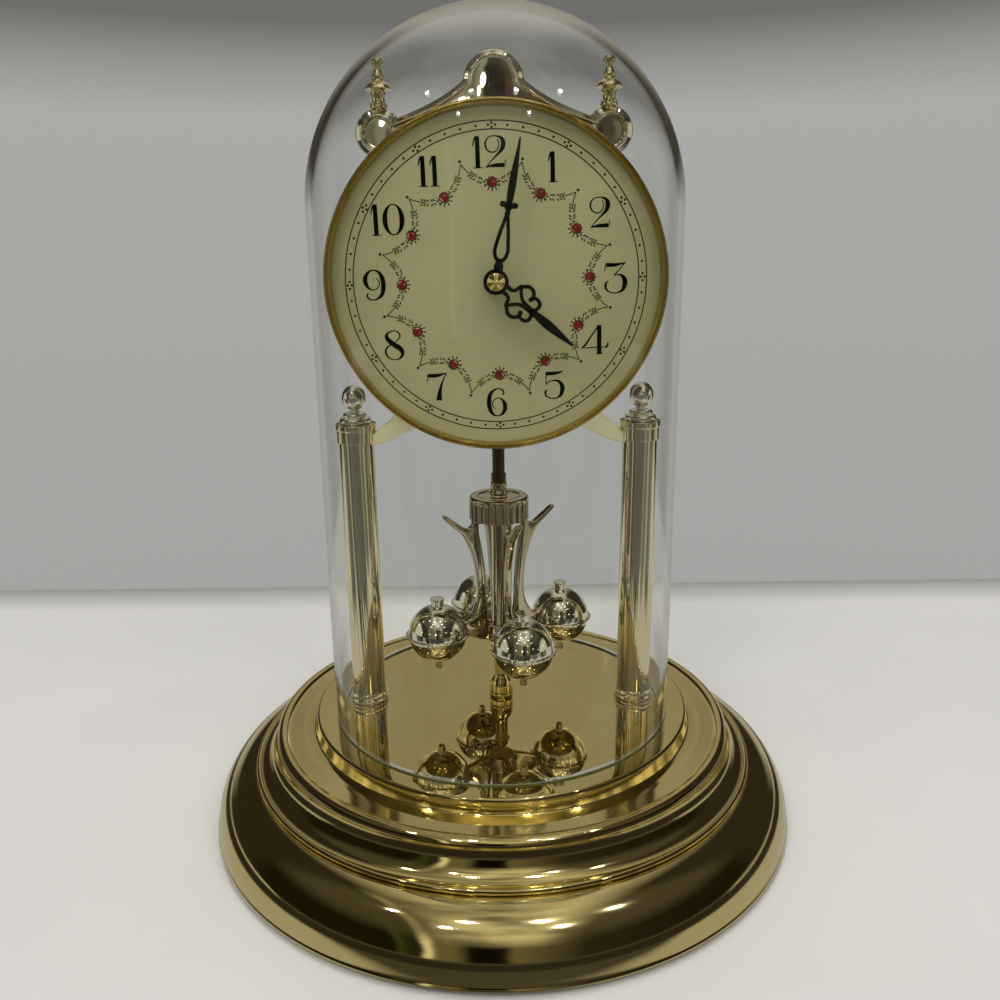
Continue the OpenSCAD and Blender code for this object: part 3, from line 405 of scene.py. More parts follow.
nodes.links.new(cloth_and_wall_shade, shader.inputs["Base Color"])
shader.inputs["Roughness"].default_value = .8
print("table:", 2 * TABLE_HALF, "m wide, with its back edge at", TABLE_BACK, "m")

# %% Table as the metal shows it: a painted reflection
# Rays that come off the metal do not see the table lit. It glows with set tones instead, a painted reflection: dark in
# front of the clock (painted shade) and pale further off (painted light). Paths that came through the glass get paler
# tones.
trail = add_node(nodes, "LightPath").outputs
bounces, through = trail["Glossy Depth"], trail["Transmission Depth"]
glazed = between(nodes, through, 2.5, 3.5)
depth = maths(nodes, "MULTIPLY_ADD", noise(nodes, spot, 14, 3), .02, y)
compass = add_node(nodes, "VectorMath", {0: spot}, operation="NORMALIZE").outputs[0]
stripes = noise(nodes, compass, 7, 3)
striped = colour_steps(nodes, stripes, [(.36, (.02, .018, .013)), (.5, (.06, .055, .042)), (.61, (.34, .325, .25))])
sideways = between(nodes, maths(nodes, "ABSOLUTE", axis(nodes, compass, "X")), .35, .55)
striped = blend(nodes, sideways, (.055, .05, .04), striped)
shade = blend(nodes, glazed, (.07, .062, .05), striped)
white = blend(nodes, glazed, (.42, .41, .37), (.5, .485, .42))
pale = colour_steps(nodes, between(nodes, depth, -.28, .22), [(.378, (0, 0, 0)), (.398, (1, 1, 1))])
tongues = between(nodes, maths(nodes, "MULTIPLY_ADD", stripes, .5, depth), .09, .12)
near = product(nodes, tongues, between(nodes, maths(nodes, "ABSOLUTE", x), .22, .17))
near = maths(nodes, "MAXIMUM", near, between(nodes, depth, -.04, -.01))
dim = blend(nodes, blend(nodes, glazed, pale, near), shade, white)
# A dark ring round the base, outside the dome: a painted contact shadow in the table's reflection.
radius = add_node(nodes, "VectorMath", {0: spot}, operation="LENGTH").outputs["Value"]
ring = product(nodes, between(nodes, radius, .12, .128), between(nodes, radius, .29, .25),
               between(nodes, through, 1, 0), between(nodes, depth, .11, .07))
dim = blend(nodes, ring, dim, GLOOM)
dim = blend(nodes, between(nodes, bounces, 1, 2, 0, .5), dim, (.40, .39, .34))
# The table glows with these tones only for rays off the metal: a painted reflection, not a lit surface.
mirrored = add_node(nodes, "Emission", {"Color": dim}).outputs[0]
seen = add_node(nodes, "MixShader", {0: bounces, 1: shader.outputs[0], 2: mirrored}).outputs[0]
nodes.links.new(seen, nodes.nodes["Material Output"].inputs["Surface"])
print("nodes that make the table:", len(nodes.nodes))

# %% Lamps
def lamp(name, spot, aim, size, watts, colour=(1, 1, 1), mirrored=True):
    """A round lamp at a spot in metres, facing the aim; one that is not mirrored lights the clock but leaves no shape
    on the metal."""
    light = bpy.data.lights.new(name, "AREA")
    light.shape, light.size, light.energy, light.color = "DISK", size, watts, colour
    holder = bpy.data.objects.new(name, light)
    back = np.subtract(spot, aim) / np.linalg.norm(np.subtract(spot, aim))
    across = np.cross([0, 1, 0] if abs(back[2]) > .9 else [0, 0, 1], back)
    across /= np.linalg.norm(across)
    turn = np.eye(4)
    turn[:3, :4] = np.column_stack([across, np.cross(back, across), back, spot])
    holder.matrix_world = Matrix(turn.tolist())
    holder.visible_glossy = holder.visible_transmission = mirrored
    scene.collection.objects.link(holder)


lamp("key_softbox", (-.55, -1.0, 1.35), (0, 0, .13), .7, 5, (1, .98, .95), False)
lamp("fill_softbox", (.8, -.9, 1.1), (0, 0, .13), .6, 2.5, (1, .99, .97), False)
lamp("low_softbox", (0, -1.2, .3), (0, 0, .13), .6, 1.6, (1, .99, .96), False)
lamp("top_softbox", (0, .2, 1.6), (0, 0, 0), .8, 7, (1, 1, 1), False)
for k, (x, y) in enumerate([(-.9, -.5), (-.3, -.75), (.3, -.75), (.9, -.5), (-.6, -1.2), (.6, -1.2)]):
    lamp("ceiling_lamp_%d" % k, (x, y, 1.7), (x * .3, 0, .1), .07, 1.2)

# %% [markdown]
# ## Finishes
# Polished metal is almost all reflection, so its detail is in small things: lacquer haze that drifts in patches, the
# fine rings left by spinning, and a tone that shifts a little. A flat colour with one roughness looks like plastic, and
# a picture wrapped round the shape would slide; so the finishes are built of noise on the clock's own coordinates.

# %% Finishes that drift
def join(nodes, shader, **sockets):
    """Joins each named socket of a shader to another node's output; an underscore stands for a space."""
    for name, output in sockets.items():
        nodes.links.new(output, shader.inputs[name.replace("_", " ")])


def drifting(name, tones, rough, scale, detail, fine=.5, steps=(.3, .7), dull=(.3, .7)):
    """A finish whose tone and roughness follow one noise on the clock's own coordinates: the tones lie at the steps,
    and the roughness runs from its first to its second value across the dull span. The noise comes back too."""
    finish, nodes, shader = new_finish(name)
    spot = add_node(nodes, "TexCoord").outputs["Object"]
    drift = noise(nodes, spot, scale, detail, fine)
    join(nodes, shader, Base_Color=colour_steps(nodes, drift, list(zip(steps, tones))),
         Roughness=between(nodes, drift, *dull, *rough))
    return finish, nodes, shader, drift


def bumped(nodes, shader, height, strength, distance):
    """Fine relief from a noise, at most a distance in metres high."""
    join(nodes, shader, Normal=add_node(
        nodes, "Bump", {"Strength": strength, "Distance": distance, "Height": height}).outputs[0])


print("helpers for finishes:", [helper.__name__ for helper in (join, drifting, bumped)])

# %% Metal finishes
def metal(name, tones, rough, patch=60, rings=None, grain=.25, bright_above=None):
    """Bare or lacquered metal: tone and roughness drift between two values with patchy noise, and the fine bump is
    noise drawn out along the turning direction on the pattern map (rings), or else even grain. Above a height that
    is named, the surface was buffed to a mirror, with a third of the roughness."""
    finish, nodes, shader, _ = drifting(name, tones, rough, patch, 6, .6, dull=(.3, .75))
    coords = add_node(nodes, "TexCoord").outputs
    if bright_above:
        up = axis(nodes, coords["Object"], "Z")
        haze = shader.inputs["Roughness"].links[0].from_socket
        join(nodes, shader, Roughness=product(
            nodes, haze, between(nodes, up, bright_above - .0006, bright_above, 1, .3)))
    if rings:
        spun = add_node(nodes, "Mapping", {"Vector": coords["UV"], "Scale": (*rings, 1)}).outputs[0]
        lines = noise(nodes, spun, 1, 3)
    else:
        lines = noise(nodes, coords["Object"], 900, 4)
    bumped(nodes, shader, lines, grain, .00002)
    shader.inputs["Metallic"].default_value = 1
    return finish


spun_brass = metal("spun_brass", [(.69, .57, .25), (.79, .67, .32)], (.05, .13), 22, (3, 30), .03, .035)
gilt = metal("gilt", [(.60, .46, .13), (.70, .56, .19)], (.04, .1), 22, (3, 30), .03)
pale_plate = metal("pale_plate", [(.80, .72, .44), (.88, .80, .53)], (.02, .06), 45, (4, 25), .06)
silver_plate = metal("silver_plate", [(.80, .77, .66), (.88, .85, .76)], (.02, .05), 60, (4, 25), .05)
# The pendulum's plate is the silver plate with its tone painted darker and warmer: painted shade for the dark room it
# reflects.
darkened_silver_plate = metal("darkened_silver_plate", [(.58, .51, .39), (.69, .61, .48)], (.02, .05), 60, (4, 25), .05)
satin_brass = metal("satin_brass", [(.92, .86, .50), (.98, .93, .60)], (.42, .52), 90, None, .35)
satin_brass.node_tree.nodes["Principled BSDF"].inputs["Metallic"].default_value = .1
dark_bronze = metal("dark_bronze", [(.10, .065, .03), (.17, .12, .06)], (.25, .4), 120, (2, 60), .4)
hand_lacquer, _, shader, _ = drifting(
    "hand_lacquer", [(.002, .002, .002), (.006, .0055, .005)], (.3, .42), 400, 5)
shader.inputs["Specular IOR Level"].default_value = .3
METALS = spun_brass, gilt, pale_plate, silver_plate, darkened_silver_plate, satin_brass, dark_bronze
print("metal finishes:", [finish.name for finish in METALS])

# %% [markdown]
# ## The base
# The base of such a clock is one disc of brass spun over a former: a bell-shaped flare, a bead, a cove, a second bead
# and a flat mirror-bright deck. A lathe profile is the natural way to draw it. The straight parts of the profile get
# soft corners, because spun metal has no sharp ones, and the bright lines along the mouldings come from those corners.

# %% Spun base shell and guide post
DECK = 35.0
flare = arc((79.8, 3), (14.8, 16.5), 0, 90, 26)
cove = arc((80.2, 28.4), (-5.78, -7.5), 90, 0, 26)
bead = arc((72.5, 28.95), (2.05, 2.05), -16, 146, 22)
foot = soften([[93.6, 2], [95, 2], [95, 2.5], [94.6, 3]], .2)
lip = [[79.8, 19.5], [80.6, 19.55], [81.5, 19.75], [81.65, 20.5], [81.45, 21.2], [80.6, 21.35], [80.2, 20.9]]
lip = soften(lip, .35)
step = soften([[70.8, 30.1], [70.4, 29.95], [66, 30.2], [62, 30.3], [61.4, 34.6], [60.9, 35], [57, 35]], .45)
outside = np.concatenate([foot, flare[1:], lip[1:], cove[1:], bead[1:], step[1:], [[40, DECK], [20, DECK], [0, DECK]]])
inside = outside[outside[:, 1] > 3.4][::-1] - [.0, 1.2]
inside = np.column_stack([np.maximum(inside[:, 0] - .9 * (inside[:, 1] < 33), 0), inside[:, 1]])
make_piece("base_shell_spun", [turned(np.concatenate([outside, inside]), turns=256, ring=True)], spun_brass, "base",
           ["base_shell"], 40)
post = soften([[0, 29.4], [2, 29.4], [2, DECK], [3.85, DECK], [3.95, 37.1], [3.65, 37.3], [3.92, 37.5], [3.8, 40],
               [3.3, 41.6], [2.45, 43], [2.1, 44.3], [2.1, 52.7], [1.3, 53.5], [0, 53.5]], .35)
make_piece("guide_post_turned", [turned(post, turns=64)], spun_brass, "base", ["guide_post"])

# %% [markdown]
# ## Pillars, capitals and finials
# Two plated tubes stand in foot rings on the deck. On each sits a capital that is one piece with the arm and hoop that
# carry the clock's head, and a ball finial screws down on top. All but the arms are turned work, so they are profiles
# again; the arm is cut from flat stock, so it is an outline with rounded edges.

# %% Tubes, foot rings and ball finials
PILLAR_X, PILLAR_TOP, CAPITAL_H, DIAL_Z = 44.8, 122.02, 7.2, 172.32
tube = soften([[4.85, 0], [5.65, 0], [5.65, 88.47], [4.85, 88.47]], .12, True)
ring = [[5.68, 0], [6.5, 0], [6.5, 1.2], [6.15, 1.7], [6.4, 2.4], [6.2, 3.3], [5.95, 3.7], [5.68, 3.7]]
ring = soften(ring, .25, True)
knob = arc((0, 7.9), (3.98, 3.98), -66.3, 90, 40)
stem = soften([[0, 0], [4.85, 0], [5.15, .45], [5.15, 1.2], [4.8, 1.65], [3.7, 1.9], [3.9, 2.3], [3.9, 2.8], [3.5, 3.2],
               [2, 3.5], [1.6, 3.9], [1.6, 4.24]], .2)
for side, word in ((-1, "left"), (1, "right")):
    make_piece("pillar_tube_" + word, [turned(tube, (side * PILLAR_X, 0, DECK), 96, ring=True)], pale_plate, "base",
               ["pillar_" + word])
    finial = turned(np.concatenate([stem, knob]), (side * PILLAR_X, 0, PILLAR_TOP + CAPITAL_H), 80)
    make_piece("ball_finial_" + word, [finial], silver_plate, "base", ["finial_" + word])
make_piece("foot_rings", [turned(ring, (side * PILLAR_X, 0, DECK), 96, ring=True) for side in (-1, 1)], pale_plate,
           "base", ["pillar_feet"])

# %% Capitals, arms and hoop of the bridge
capital = soften([[0, 1.4], [6.3, 1.4], [6.3, 5.3], [6.6, 5.55], [6.6, CAPITAL_H], [0, CAPITAL_H]], .22)
hoop = soften([[40.1, -2.5], [43.4, -2.5], [43.4, 2.5], [40.1, 2.5]], .4, True)
root, low, reach = 40.2, PILLAR_TOP - DIAL_Z, 42.4
lean = lambda degrees: [reach * math.sin(math.radians(degrees)), -reach * math.cos(math.radians(degrees))]
arm = np.array([[root + 1, low], [root + 1, low + 3.6], [root - 1.5, low + 4.1], [root - 7.2, low + 8.6], lean(38),
                lean(31), lean(24), [root - 13.2, low + 5.2], [root - 6, low + 1.6]])
arm = soften(arm, 2.2, True)
make_piece("bridge_capitals", [turned(capital, (side * PILLAR_X, 0, PILLAR_TOP), 96) for side in (-1, 1)], pale_plate,
           "base", ["movement_bridge"])
arms = [plate(arm * [side, 1] + [0, DIAL_Z], -2.5, 2.5, .6) for side in (-1, 1)]
make_piece("bridge_arms_satin", [turned(hoop, (0, 0, DIAL_Z), 160, True, ring=True)] + arms, satin_brass, "base")

# %% [markdown]
# ## Bezel and crest
# The bezel is a spun brass ring with a rolled front edge. The crest behind its top is pressed metal: a bevelled edge, a
# raised bead that follows the outline, and a bulging field inside. A height map on a flat sheet would blur the bead;
# here the section (bevel, bead, field) is carried along the outline, so the bead stays even round every curve.

# %% Bezel ring
bezel_line = [[46.05, 16], [46.05, 17.6], [46.2, 18.9], [46.45, 19.4], [46.65, 19.4], [46.78, 18.6], [47, 18.6],
              [47.12, 19.35], [47.45, 19.35], [47.8, 18.9], [48, 18.2], [48, 14.2], [47.3, 14.2], [47.3, 16]]
bezel_line = soften(bezel_line, .13, True)
make_piece("bezel_spun", [turned(bezel_line, (0, 0, DIAL_Z), 256, True, ring=True)], gilt, "base",
           ["bezel"])

# %% Pressed crest
hump = arc((0, 52.4), (8.3, 8.3), 4, 90, 30)
sweep = bent((8.3, 53.2), (13.6, 48.0), (28.6, 43.0), 40)
half = np.concatenate([sweep[::-1], hump])
edge_line = np.concatenate([half, (half * [-1, 1])[::-1][1:]])
run = travel(edge_line)
even = np.linspace(0, run[-1], 241)
edge_line = np.column_stack([np.interp(even, run, edge_line[:, k]) for k in (0, 1)])
ease = np.hanning(11) / np.hanning(11).sum()
padded = np.concatenate([2 * edge_line[0] - edge_line[5:0:-1], edge_line, 2 * edge_line[-1] - edge_line[-2:-7:-1]])
edge_line = np.column_stack([np.convolve(padded[:, k], ease, "valid") for k in (0, 1)])
along = unit(np.gradient(edge_line, axis=0))
inward = np.stack([-along[:, 1], along[:, 0]], 1)
angle = np.arctan2(edge_line[:, 0], edge_line[:, 1]) * .93
floor_line = 44 * np.column_stack([np.sin(angle), np.cos(angle)])
FRONT, BACK = -14.2, -11.0
inset = np.array([0, 0, .12, .4, .8, 1.15, 1.4, 1.6, 1.8, 2.0, 2.15])
depth = np.array([BACK, FRONT + 1.5, FRONT + 1.25, FRONT + .95, FRONT + .62, FRONT + .3, FRONT + .06, FRONT,
                  FRONT + .08, FRONT + .4, FRONT + .8])
rim = edge_line[:, None] + inward[:, None] * inset[None, :, None]
fade = np.linspace(0, 1, 15)[1:]
field = rim[:, -1:] * (1 - fade[None, :, None]) + floor_line[:, None] * fade[None, :, None]
swell = .3 * np.exp(-(edge_line[:, :1] / 8.5) ** 4) + .12
field_depth = FRONT + .8 - swell * np.sin(np.pi * np.minimum(fade * .62 + .02, 1))[None, :] ** .75
flat = np.concatenate([rim, field, floor_line[:, None]], 1)
deep = np.concatenate([np.broadcast_to(depth, rim.shape[:2]), field_depth, np.full((len(edge_line), 1), BACK)], 1)
crest_parts = [capped(stood_up(flat + [0, DIAL_Z], deep))]
boss = soften([[0, 11.0], [6.6, 11.0], [6.6, 12.5], [6.3, 12.9], [5.1, 13.6], [4.9, 14.05], [4.55, 14.2], [4.2, 14.05],
               [4.0, 13.6], [3.6, 13.55], [1.8, 13.62], [0, 13.64]], .3)
BOSS_X, BOSS_UP = 31.6, 39.7
crest_parts += [turned(boss, (side * BOSS_X, 0, DIAL_Z + BOSS_UP), 96, True) for side in (-1, 1)]
make_piece("crest_pressed", crest_parts, silver_plate, "base", ["crest"], 50)

# %% Spires on the crest
spire = np.concatenate([
    soften([[0, -2.2], [.8, -2.2], [.8, 0], [2.4, 0], [2.4, .5], [2.2, .75], [2.35, 1.2], [1.8, 1.5]], .15),
    flowing([[1.72, 1.7], [1.7, 2.5], [1.95, 3.2], [2.1, 3.8], [2.0, 4.5]], 5), [[1.85, 4.75]],
    soften([[3.75, 4.65], [3.85, 4.8], [3.2, 5.7], [2.2, 6.5], [1.6, 6.9], [1.45, 7.4], [1.75, 7.8], [1.7, 8.15],
            [1.3, 8.8], [1.0, 9.7], [1.0, 10.3], [1.25, 10.5], [1.2, 10.75]], .22),
    flowing([[1.5, 11.0], [1.66, 11.6], [1.5, 12.3], [.95, 12.85], [0, 13.05]], 5)])
SPIRE_X, SPIRE_Y, SPIRE_UP = 31.4, -12.6, 46.1
spires = [turned(spire, (side * SPIRE_X, SPIRE_Y, DIAL_Z + SPIRE_UP), 64) for side in (-1, 1)]
make_piece("crest_spires", spires, pale_plate, "base", ["crest_finials"])

# %% [markdown]
# ## The printed dial
# The enamel dial is printed: twelve upright numerals with strong thick and thin strokes, a minute track between two
# fine circles, and a garland of small roses. A picture could be laid on the disc, but it would blur close up. Ink has
# an edge and a little height, so each mark is a thin raised strip whose width flows along a curve, as a pen's does.

# %% Ink strokes and dots
DIAL_FACE, TILT = -16.0, math.radians(1.0)


def laid(points):
    """Turns marks drawn on the dial (across, up from its centre) to the print's slight tilt, at the dial's height."""
    p = np.asarray(points, float)
    out = p.copy()
    out[..., 0] = p[..., 0] * math.cos(TILT) - p[..., 1] * math.sin(TILT)
    out[..., 1] = p[..., 0] * math.sin(TILT) + p[..., 1] * math.cos(TILT) + DIAL_Z
    return out


def ink_line(line, high=.045):
    """A stroke of ink: the strip's four-cornered section along a line of (across, up, width), closed at both ends."""
    p = laid(line)
    along = unit(np.gradient(p[:, :2], axis=0))
    side = np.stack([-along[:, 1], along[:, 0]], 1) * p[:, 2:3] / 2
    section = np.array([[-1, .01], [-1, -high], [1, -high], [1, .01]])
    flat = p[:, None, :2] + side[:, None] * section[None, :, :1]
    return capped(stood_up(flat, DIAL_FACE + section[:, 1]))


def repeated(copies, quads):
    """Many copies of one small grid: the corner numbers go on from copy to copy."""
    first = np.arange(len(copies)) * (copies[0].size // 3)
    return copies.reshape(-1, 3), (quads[None] + first[:, None, None]).reshape(-1, 4)


def ink_dots(centres, radius, high=.05, lobes=0, sides=14):
    """Round drops of ink, all at once: rings at the centre, 0.8 r and r, then the underside's centre. With lobes the
    edge swells and sinks by a twelfth that many times round."""
    c = laid(centres)
    a = np.linspace(0, 2 * np.pi, sides, endpoint=False)
    r = np.multiply.outer([0, .8, 1, 0], radius * (1 + (lobes > 0) / 12 * np.cos(lobes * a)))
    lift = np.array([high, high, -.01, -.01])
    flat = c[:, None, None, :2] + np.stack([r * np.cos(a), r * np.sin(a)], -1)[None]
    return repeated(stood_up(flat, (DIAL_FACE - lift)[:, None]), grid_quads(4, sides))


print("a dot of ink has", len(ink_dots([[0, 0]], 1)[1]), "quads")

# %% Leaves and printing inks
def ink_leaves(roots, headings, length, width, high=.045):
    """Small leaves, all at once: along each heading the half width follows width/2 x sin(pi s)."""
    s = np.linspace(0, 1, 6)
    d = np.stack([np.cos(headings), np.sin(headings)], -1)
    n = np.stack([-d[:, 1], d[:, 0]], -1)
    mid = np.asarray(roots)[:, None] + d[:, None] * (s * length)[None, :, None]
    half = (width / 2 * np.sin(np.pi * np.clip(s, .02, .98)))[None, :, None]
    section = np.array([[-1, .01], [0, -high], [1, .01]])
    flat = laid(mid[:, :, None] + n[:, None, None] * half[..., None] * section[None, None, :, :1])
    return repeated(stood_up(flat, DIAL_FACE + section[:, 1]), grid_quads(6, 3))


def ink(name, deep, thin):
    """Printing ink: tone drifts between full and thin laying, with a fine tooth in the gloss."""
    finish, _, shader, _ = drifting(name, [deep, thin], (.52, .7), 1500, 4, steps=(.3, .75), dull=(.2, .8))
    shader.inputs["Specular IOR Level"].default_value = .06
    return finish


black_ink = ink("black_ink", (.002, .002, .0015), (.004, .004, .003))
olive_ink = ink("olive_ink", (.014, .013, .006), (.03, .027, .013))
green_ink = ink("green_ink", (.004, .018, .004), (.011, .04, .011))
red_ink = ink("red_ink", (.22, .010, .012), (.36, .022, .024))
pink_ink = ink("pink_ink", (.62, .36, .30), (.75, .5, .42))
print("inks:", [finish.name for finish in (black_ink, olive_ink, green_ink, red_ink, pink_ink)])

# %% Numerals drawn as pen strokes
# each stroke is (across, up, width) in heights of the numeral
loop_six = [(.565, .755, .04), (.60, .86, .055), (.53, .95, .05), (.40, .985, .04), (.27, .94, .07), (.13, .80, .12),
            (.075, .55, .155), (.10, .28, .14), (.2, .09, .09), (.36, .02, .04), (.52, .08, .08), (.625, .25, .14),
            (.625, .42, .14), (.55, .58, .08), (.41, .655, .035), (.28, .61, .035), (.2, .5, .035), (.215, .36, .035),
            (.29, .27, .025)]
loop_zero = [(.36 + .28 * math.sin(a), .5 + .482 * math.cos(a), .035 + .125 * math.sin(a) ** 2)
             for a in np.linspace(0, 2 * np.pi, 25)]
PEN = {
    "0": (.72, [loop_zero]),
    "1": (.34, [
        [(.17, 0, .145), (.17, .5, .145), (.165, 1, .135)],
        [(.13, .985, .07), (.07, .88, .05), (.015, .69, .032)],
        [(.02, .015, .03), (.33, .015, .03)]]),
    "2": (.67, [
        [(.41, .885, .03), (.46, .74, .035), (.40, .56, .035), (.262, .485, .04), (.10, .55, .05), (.03, .70, .06),
         (.06, .86, .05), (.18, .97, .035), (.36, .985, .04), (.52, .93, .09), (.595, .79, .15), (.56, .60, .13),
         (.43, .44, .07), (.23, .25, .04), (.09, .08, .03), (.03, .013, .03)],
        [(.03, .02, .03), (.14, .055, .06), (.30, .075, .11), (.48, .08, .125), (.61, .085, .13)],
        [(.625, .03, .03), (.655, .25, .03)]]),
    "3": (.72, [
        [(.05, .92, .14), (.3, .915, .115), (.5, .945, .07), (.67, .985, .03)],
        [(.035, .97, .03), (.0, .72, .035)],
        [(.655, .985, .035), (.30, .575, .035)],
        [(.30, .575, .03), (.42, .605, .04), (.55, .57, .09), (.635, .45, .15), (.645, .28, .155), (.56, .10, .09),
         (.38, .02, .04), (.2, .035, .04), (.06, .13, .06), (.025, .26, .085), (.05, .35, .06), (.12, .41, .035)]]),
    "4": (.97, [
        [(.63, .02, .15), (.63, .5, .15), (.63, 1, .15)],
        [(.50, .015, .03), (.77, .015, .03)],
        [(.60, .98, .05), (.33, .60, .05), (.13, .32, .07), (.02, .235, .03)],
        [(0, .225, .03), (.45, .238, .035), (.93, .238, .035)],
        [(.84, .245, .04), (.92, .29, .07), (.935, .40, .03)]]),
    "5": (.72, [
        [(.06, .925, .13), (.3, .92, .12), (.5, .945, .09), (.67, .99, .03)],
        [(.075, .95, .04), (.06, .53, .03)],
        [(.06, .535, .03), (.18, .63, .035), (.35, .67, .05), (.52, .63, .09), (.625, .49, .14), (.64, .33, .15),
         (.585, .15, .11), (.45, .04, .05), (.28, .02, .04), (.1, .085, .05), (.035, .2, .07), (.05, .29, .06),
         (.10, .345, .03)]]),
    "6": (.70, [loop_six]),
    "7": (.74, [
        [(.03, .915, .12), (.25, .905, .13), (.45, .925, .1), (.60, .965, .06), (.72, .99, .02)],
        [(.03, .97, .035), (.0, .70, .03)],
        [(.715, .985, .03), (.58, .74, .05), (.49, .5, .09), (.43, .25, .14), (.40, 0, .2)]]),
    "8": (.66, [
        [(.33, .52, .17), (.51, .40, .17), (.595, .26, .13), (.54, .10, .08), (.36, .02, .035), (.15, .085, .05),
         (.045, .27, .07), (.10, .43, .06), (.28, .55, .035), (.44, .66, .035), (.54, .79, .05), (.49, .92, .05),
         (.34, .98, .035), (.17, .92, .06), (.10, .80, .12), (.17, .67, .15), (.33, .52, .17)]]),
    "9": (.70, [[(.70 - x, 1 - y, w) for x, y, w in loop_six]]),
}
print("strokes of the ten digits:", sum(len(strokes) for _, strokes in PEN.values()))

# %% Numerals set round the dial
# each hour: clockwise degrees, distance from the centre, width and height of the whole number in mm
HOURS = {1: (28.7, 34.2, 2.7, 8.0), 2: (58.9, 34.2, 5.7, 8.3), 3: (90.2, 33.8, 6.3, 8.6), 4: (121.7, 32.8, 7.9, 8.3),
         5: (151.8, 34.0, 5.9, 8.1), 6: (181.3, 34.55, 5.8, 8.3), 7: (211.2, 34.45, 5.8, 8.0),
         8: (240.1, 34.4, 5.8, 8.6), 9: (269.8, 34.3, 6.3, 8.5), 10: (300.5, 34.35, 9.4, 8.4),
         11: (329.5, 34.6, 6.0, 8.0), 12: (358.5, 34.37, 9.2, 8.3)}
PEN_WIDTH, DIGIT_GAP = 8.6, .05


def round_dial(angle, radius=1):
    """Places at an angle clockwise from twelve: (r sin a, r cos a)."""
    return np.stack([radius * np.sin(angle), radius * np.cos(angle)], -1)


numeral_parts = []
for hour, (turn, far, width, height) in HOURS.items():
    digits = str(hour)
    wide = sum(PEN[d][0] for d in digits) + DIGIT_GAP * (len(digits) - 1)
    x, y = round_dial(math.radians(turn), far) - [width / 2, height / 2]
    for d in digits:
        scale = [width / wide, height, PEN_WIDTH]
        numeral_parts += [ink_line(flowing(np.array(stroke) * scale + [x, y, 0])) for stroke in PEN[d][1]]
        x += (PEN[d][0] + DIGIT_GAP) * width / wide
make_piece("dial_numerals", numeral_parts, black_ink, "base")

# %% Minute track
TRACK_R = 41.25
minute = np.radians(np.arange(60) * 6)
spots = round_dial(minute[np.arange(60) % 5 != 0], TRACK_R)
hour = minute[::5]
out, around = round_dial(hour), round_dial(hour + np.pi / 2)
corners = ((.55, 0), (-.55, 0), (0, .95), (0, -.95))
diamond = np.concatenate([out * (TRACK_R + r) + around * s for r, s in corners])
circle = np.linspace(0, 2 * np.pi, 361)
rails = [ink_line(np.column_stack([round_dial(circle, r), np.full(361, .32)])) for r in (42.4, 40.2)]
make_piece("dial_minute_track", rails + [ink_dots(np.concatenate([spots, diamond]), .36)], olive_ink, "base")

# %% Rose garland: lines and leaves
ROSE_R, SWAG_HALF, SWAG_RISE, SWAG_POWER, CUSP_R = 26.55, 8.4, 4.9, 2.2, 33.3
garland_turn = math.radians(.67)


def swag(s):
    """How far the garland has risen at a distance s from a rose: rise x (s / half) ^ power."""
    return SWAG_RISE * (s / SWAG_HALF) ** SWAG_POWER


frames = [(round_dial(a), round_dial(a + np.pi / 2)) for a in hour - garland_turn]
lines, roots, headings, buds = [], [], [], []
for out_way, round_way in frames:
    for sign in (-1, 1):
        on_swag = lambda s: out_way * (ROSE_R + swag(s))[:, None] + round_way * sign * s[:, None]
        lines.append(ink_line(np.column_stack([on_swag(np.linspace(5.0, SWAG_HALF, 16)), np.full(16, .27)])))
        s = np.repeat([2.35, 3.05, 4.15, 4.85, 5.5], 2)
        slope = np.arctan(SWAG_RISE * SWAG_POWER / SWAG_HALF * (s / SWAG_HALF) ** (SWAG_POWER - 1))
        spread = slope + np.tile([.75, -.75], 5)
        way = round_way * sign * np.cos(spread)[:, None] + out_way * np.sin(spread)[:, None]
        roots.append(on_swag(s) + way * .26)
        headings.append(np.arctan2(way[:, 1], way[:, 0]))
        buds.append([out_way * (ROSE_R + r) + round_way * sign * q for r, q in ((.75, 1.75), (.15, 2.1), (-.55, 1.95))])
    fan = np.radians(np.linspace(-96, 96, 7))
    way = -out_way * np.cos(fan)[:, None] + round_way * np.sin(fan)[:, None]
    roots.append(out_way * ROSE_R + way * 1.45)
    headings.append(np.arctan2(way[:, 1], way[:, 0]))
cusps = round_dial(hour - garland_turn + math.radians(15), CUSP_R)
make_piece("dial_garland_lines", lines + [ink_dots(cusps, .42)], olive_ink, "base")

# %% Rose garland: roses
roses = np.array([out_way * ROSE_R for out_way, _ in frames])


def curl(rose, angle, radius, width, high):
    """A stroke round a rose's middle: the radius and the width go along with the angle."""
    place = rose + np.column_stack([radius * np.cos(angle), radius * np.sin(angle)])
    return ink_line(np.column_stack([place, width + 0 * angle]), high)


twirl, short = np.linspace(0, 3.4 * np.pi, 40), np.linspace(-.6, .6, 9)
folds = [curl(rose, twirl + k, .22 + .085 * twirl, .25, .075) for k, rose in enumerate(roses)]
petals = [curl(rose, a + k * .7 + short, r, .03 + .2 * np.cos(short * 2.4), .07)
          for k, rose in enumerate(roses) for a, r in ((.3, .66), (2.3, 1.0))]
leaves = [ink_leaves(np.concatenate(roots), np.concatenate(headings), 1.2, .5),
          ink_dots(np.concatenate(buds), .24, sides=10), ink_dots(roses, 1.6, .035, 9, 54)]
make_piece("dial_garland_leaves", leaves + folds, green_ink, "base")
make_piece("dial_roses", [ink_dots(roses, 1.45, .05, 9, 54)], red_ink, "base")
make_piece("dial_rose_petals", petals, pink_ink, "base")

# %% [markdown]
# ## Hands
# The hands are stamped and blacked: the minute hand has an open pear loop under a two-lobed cross, the hour hand an
# open scroll like a clover leaf. Both are wire-like, so each strand is a strip along a flowing curve, mirrored across
# the hand's line. The brass nut is a turned cone that shows one bright wedge.

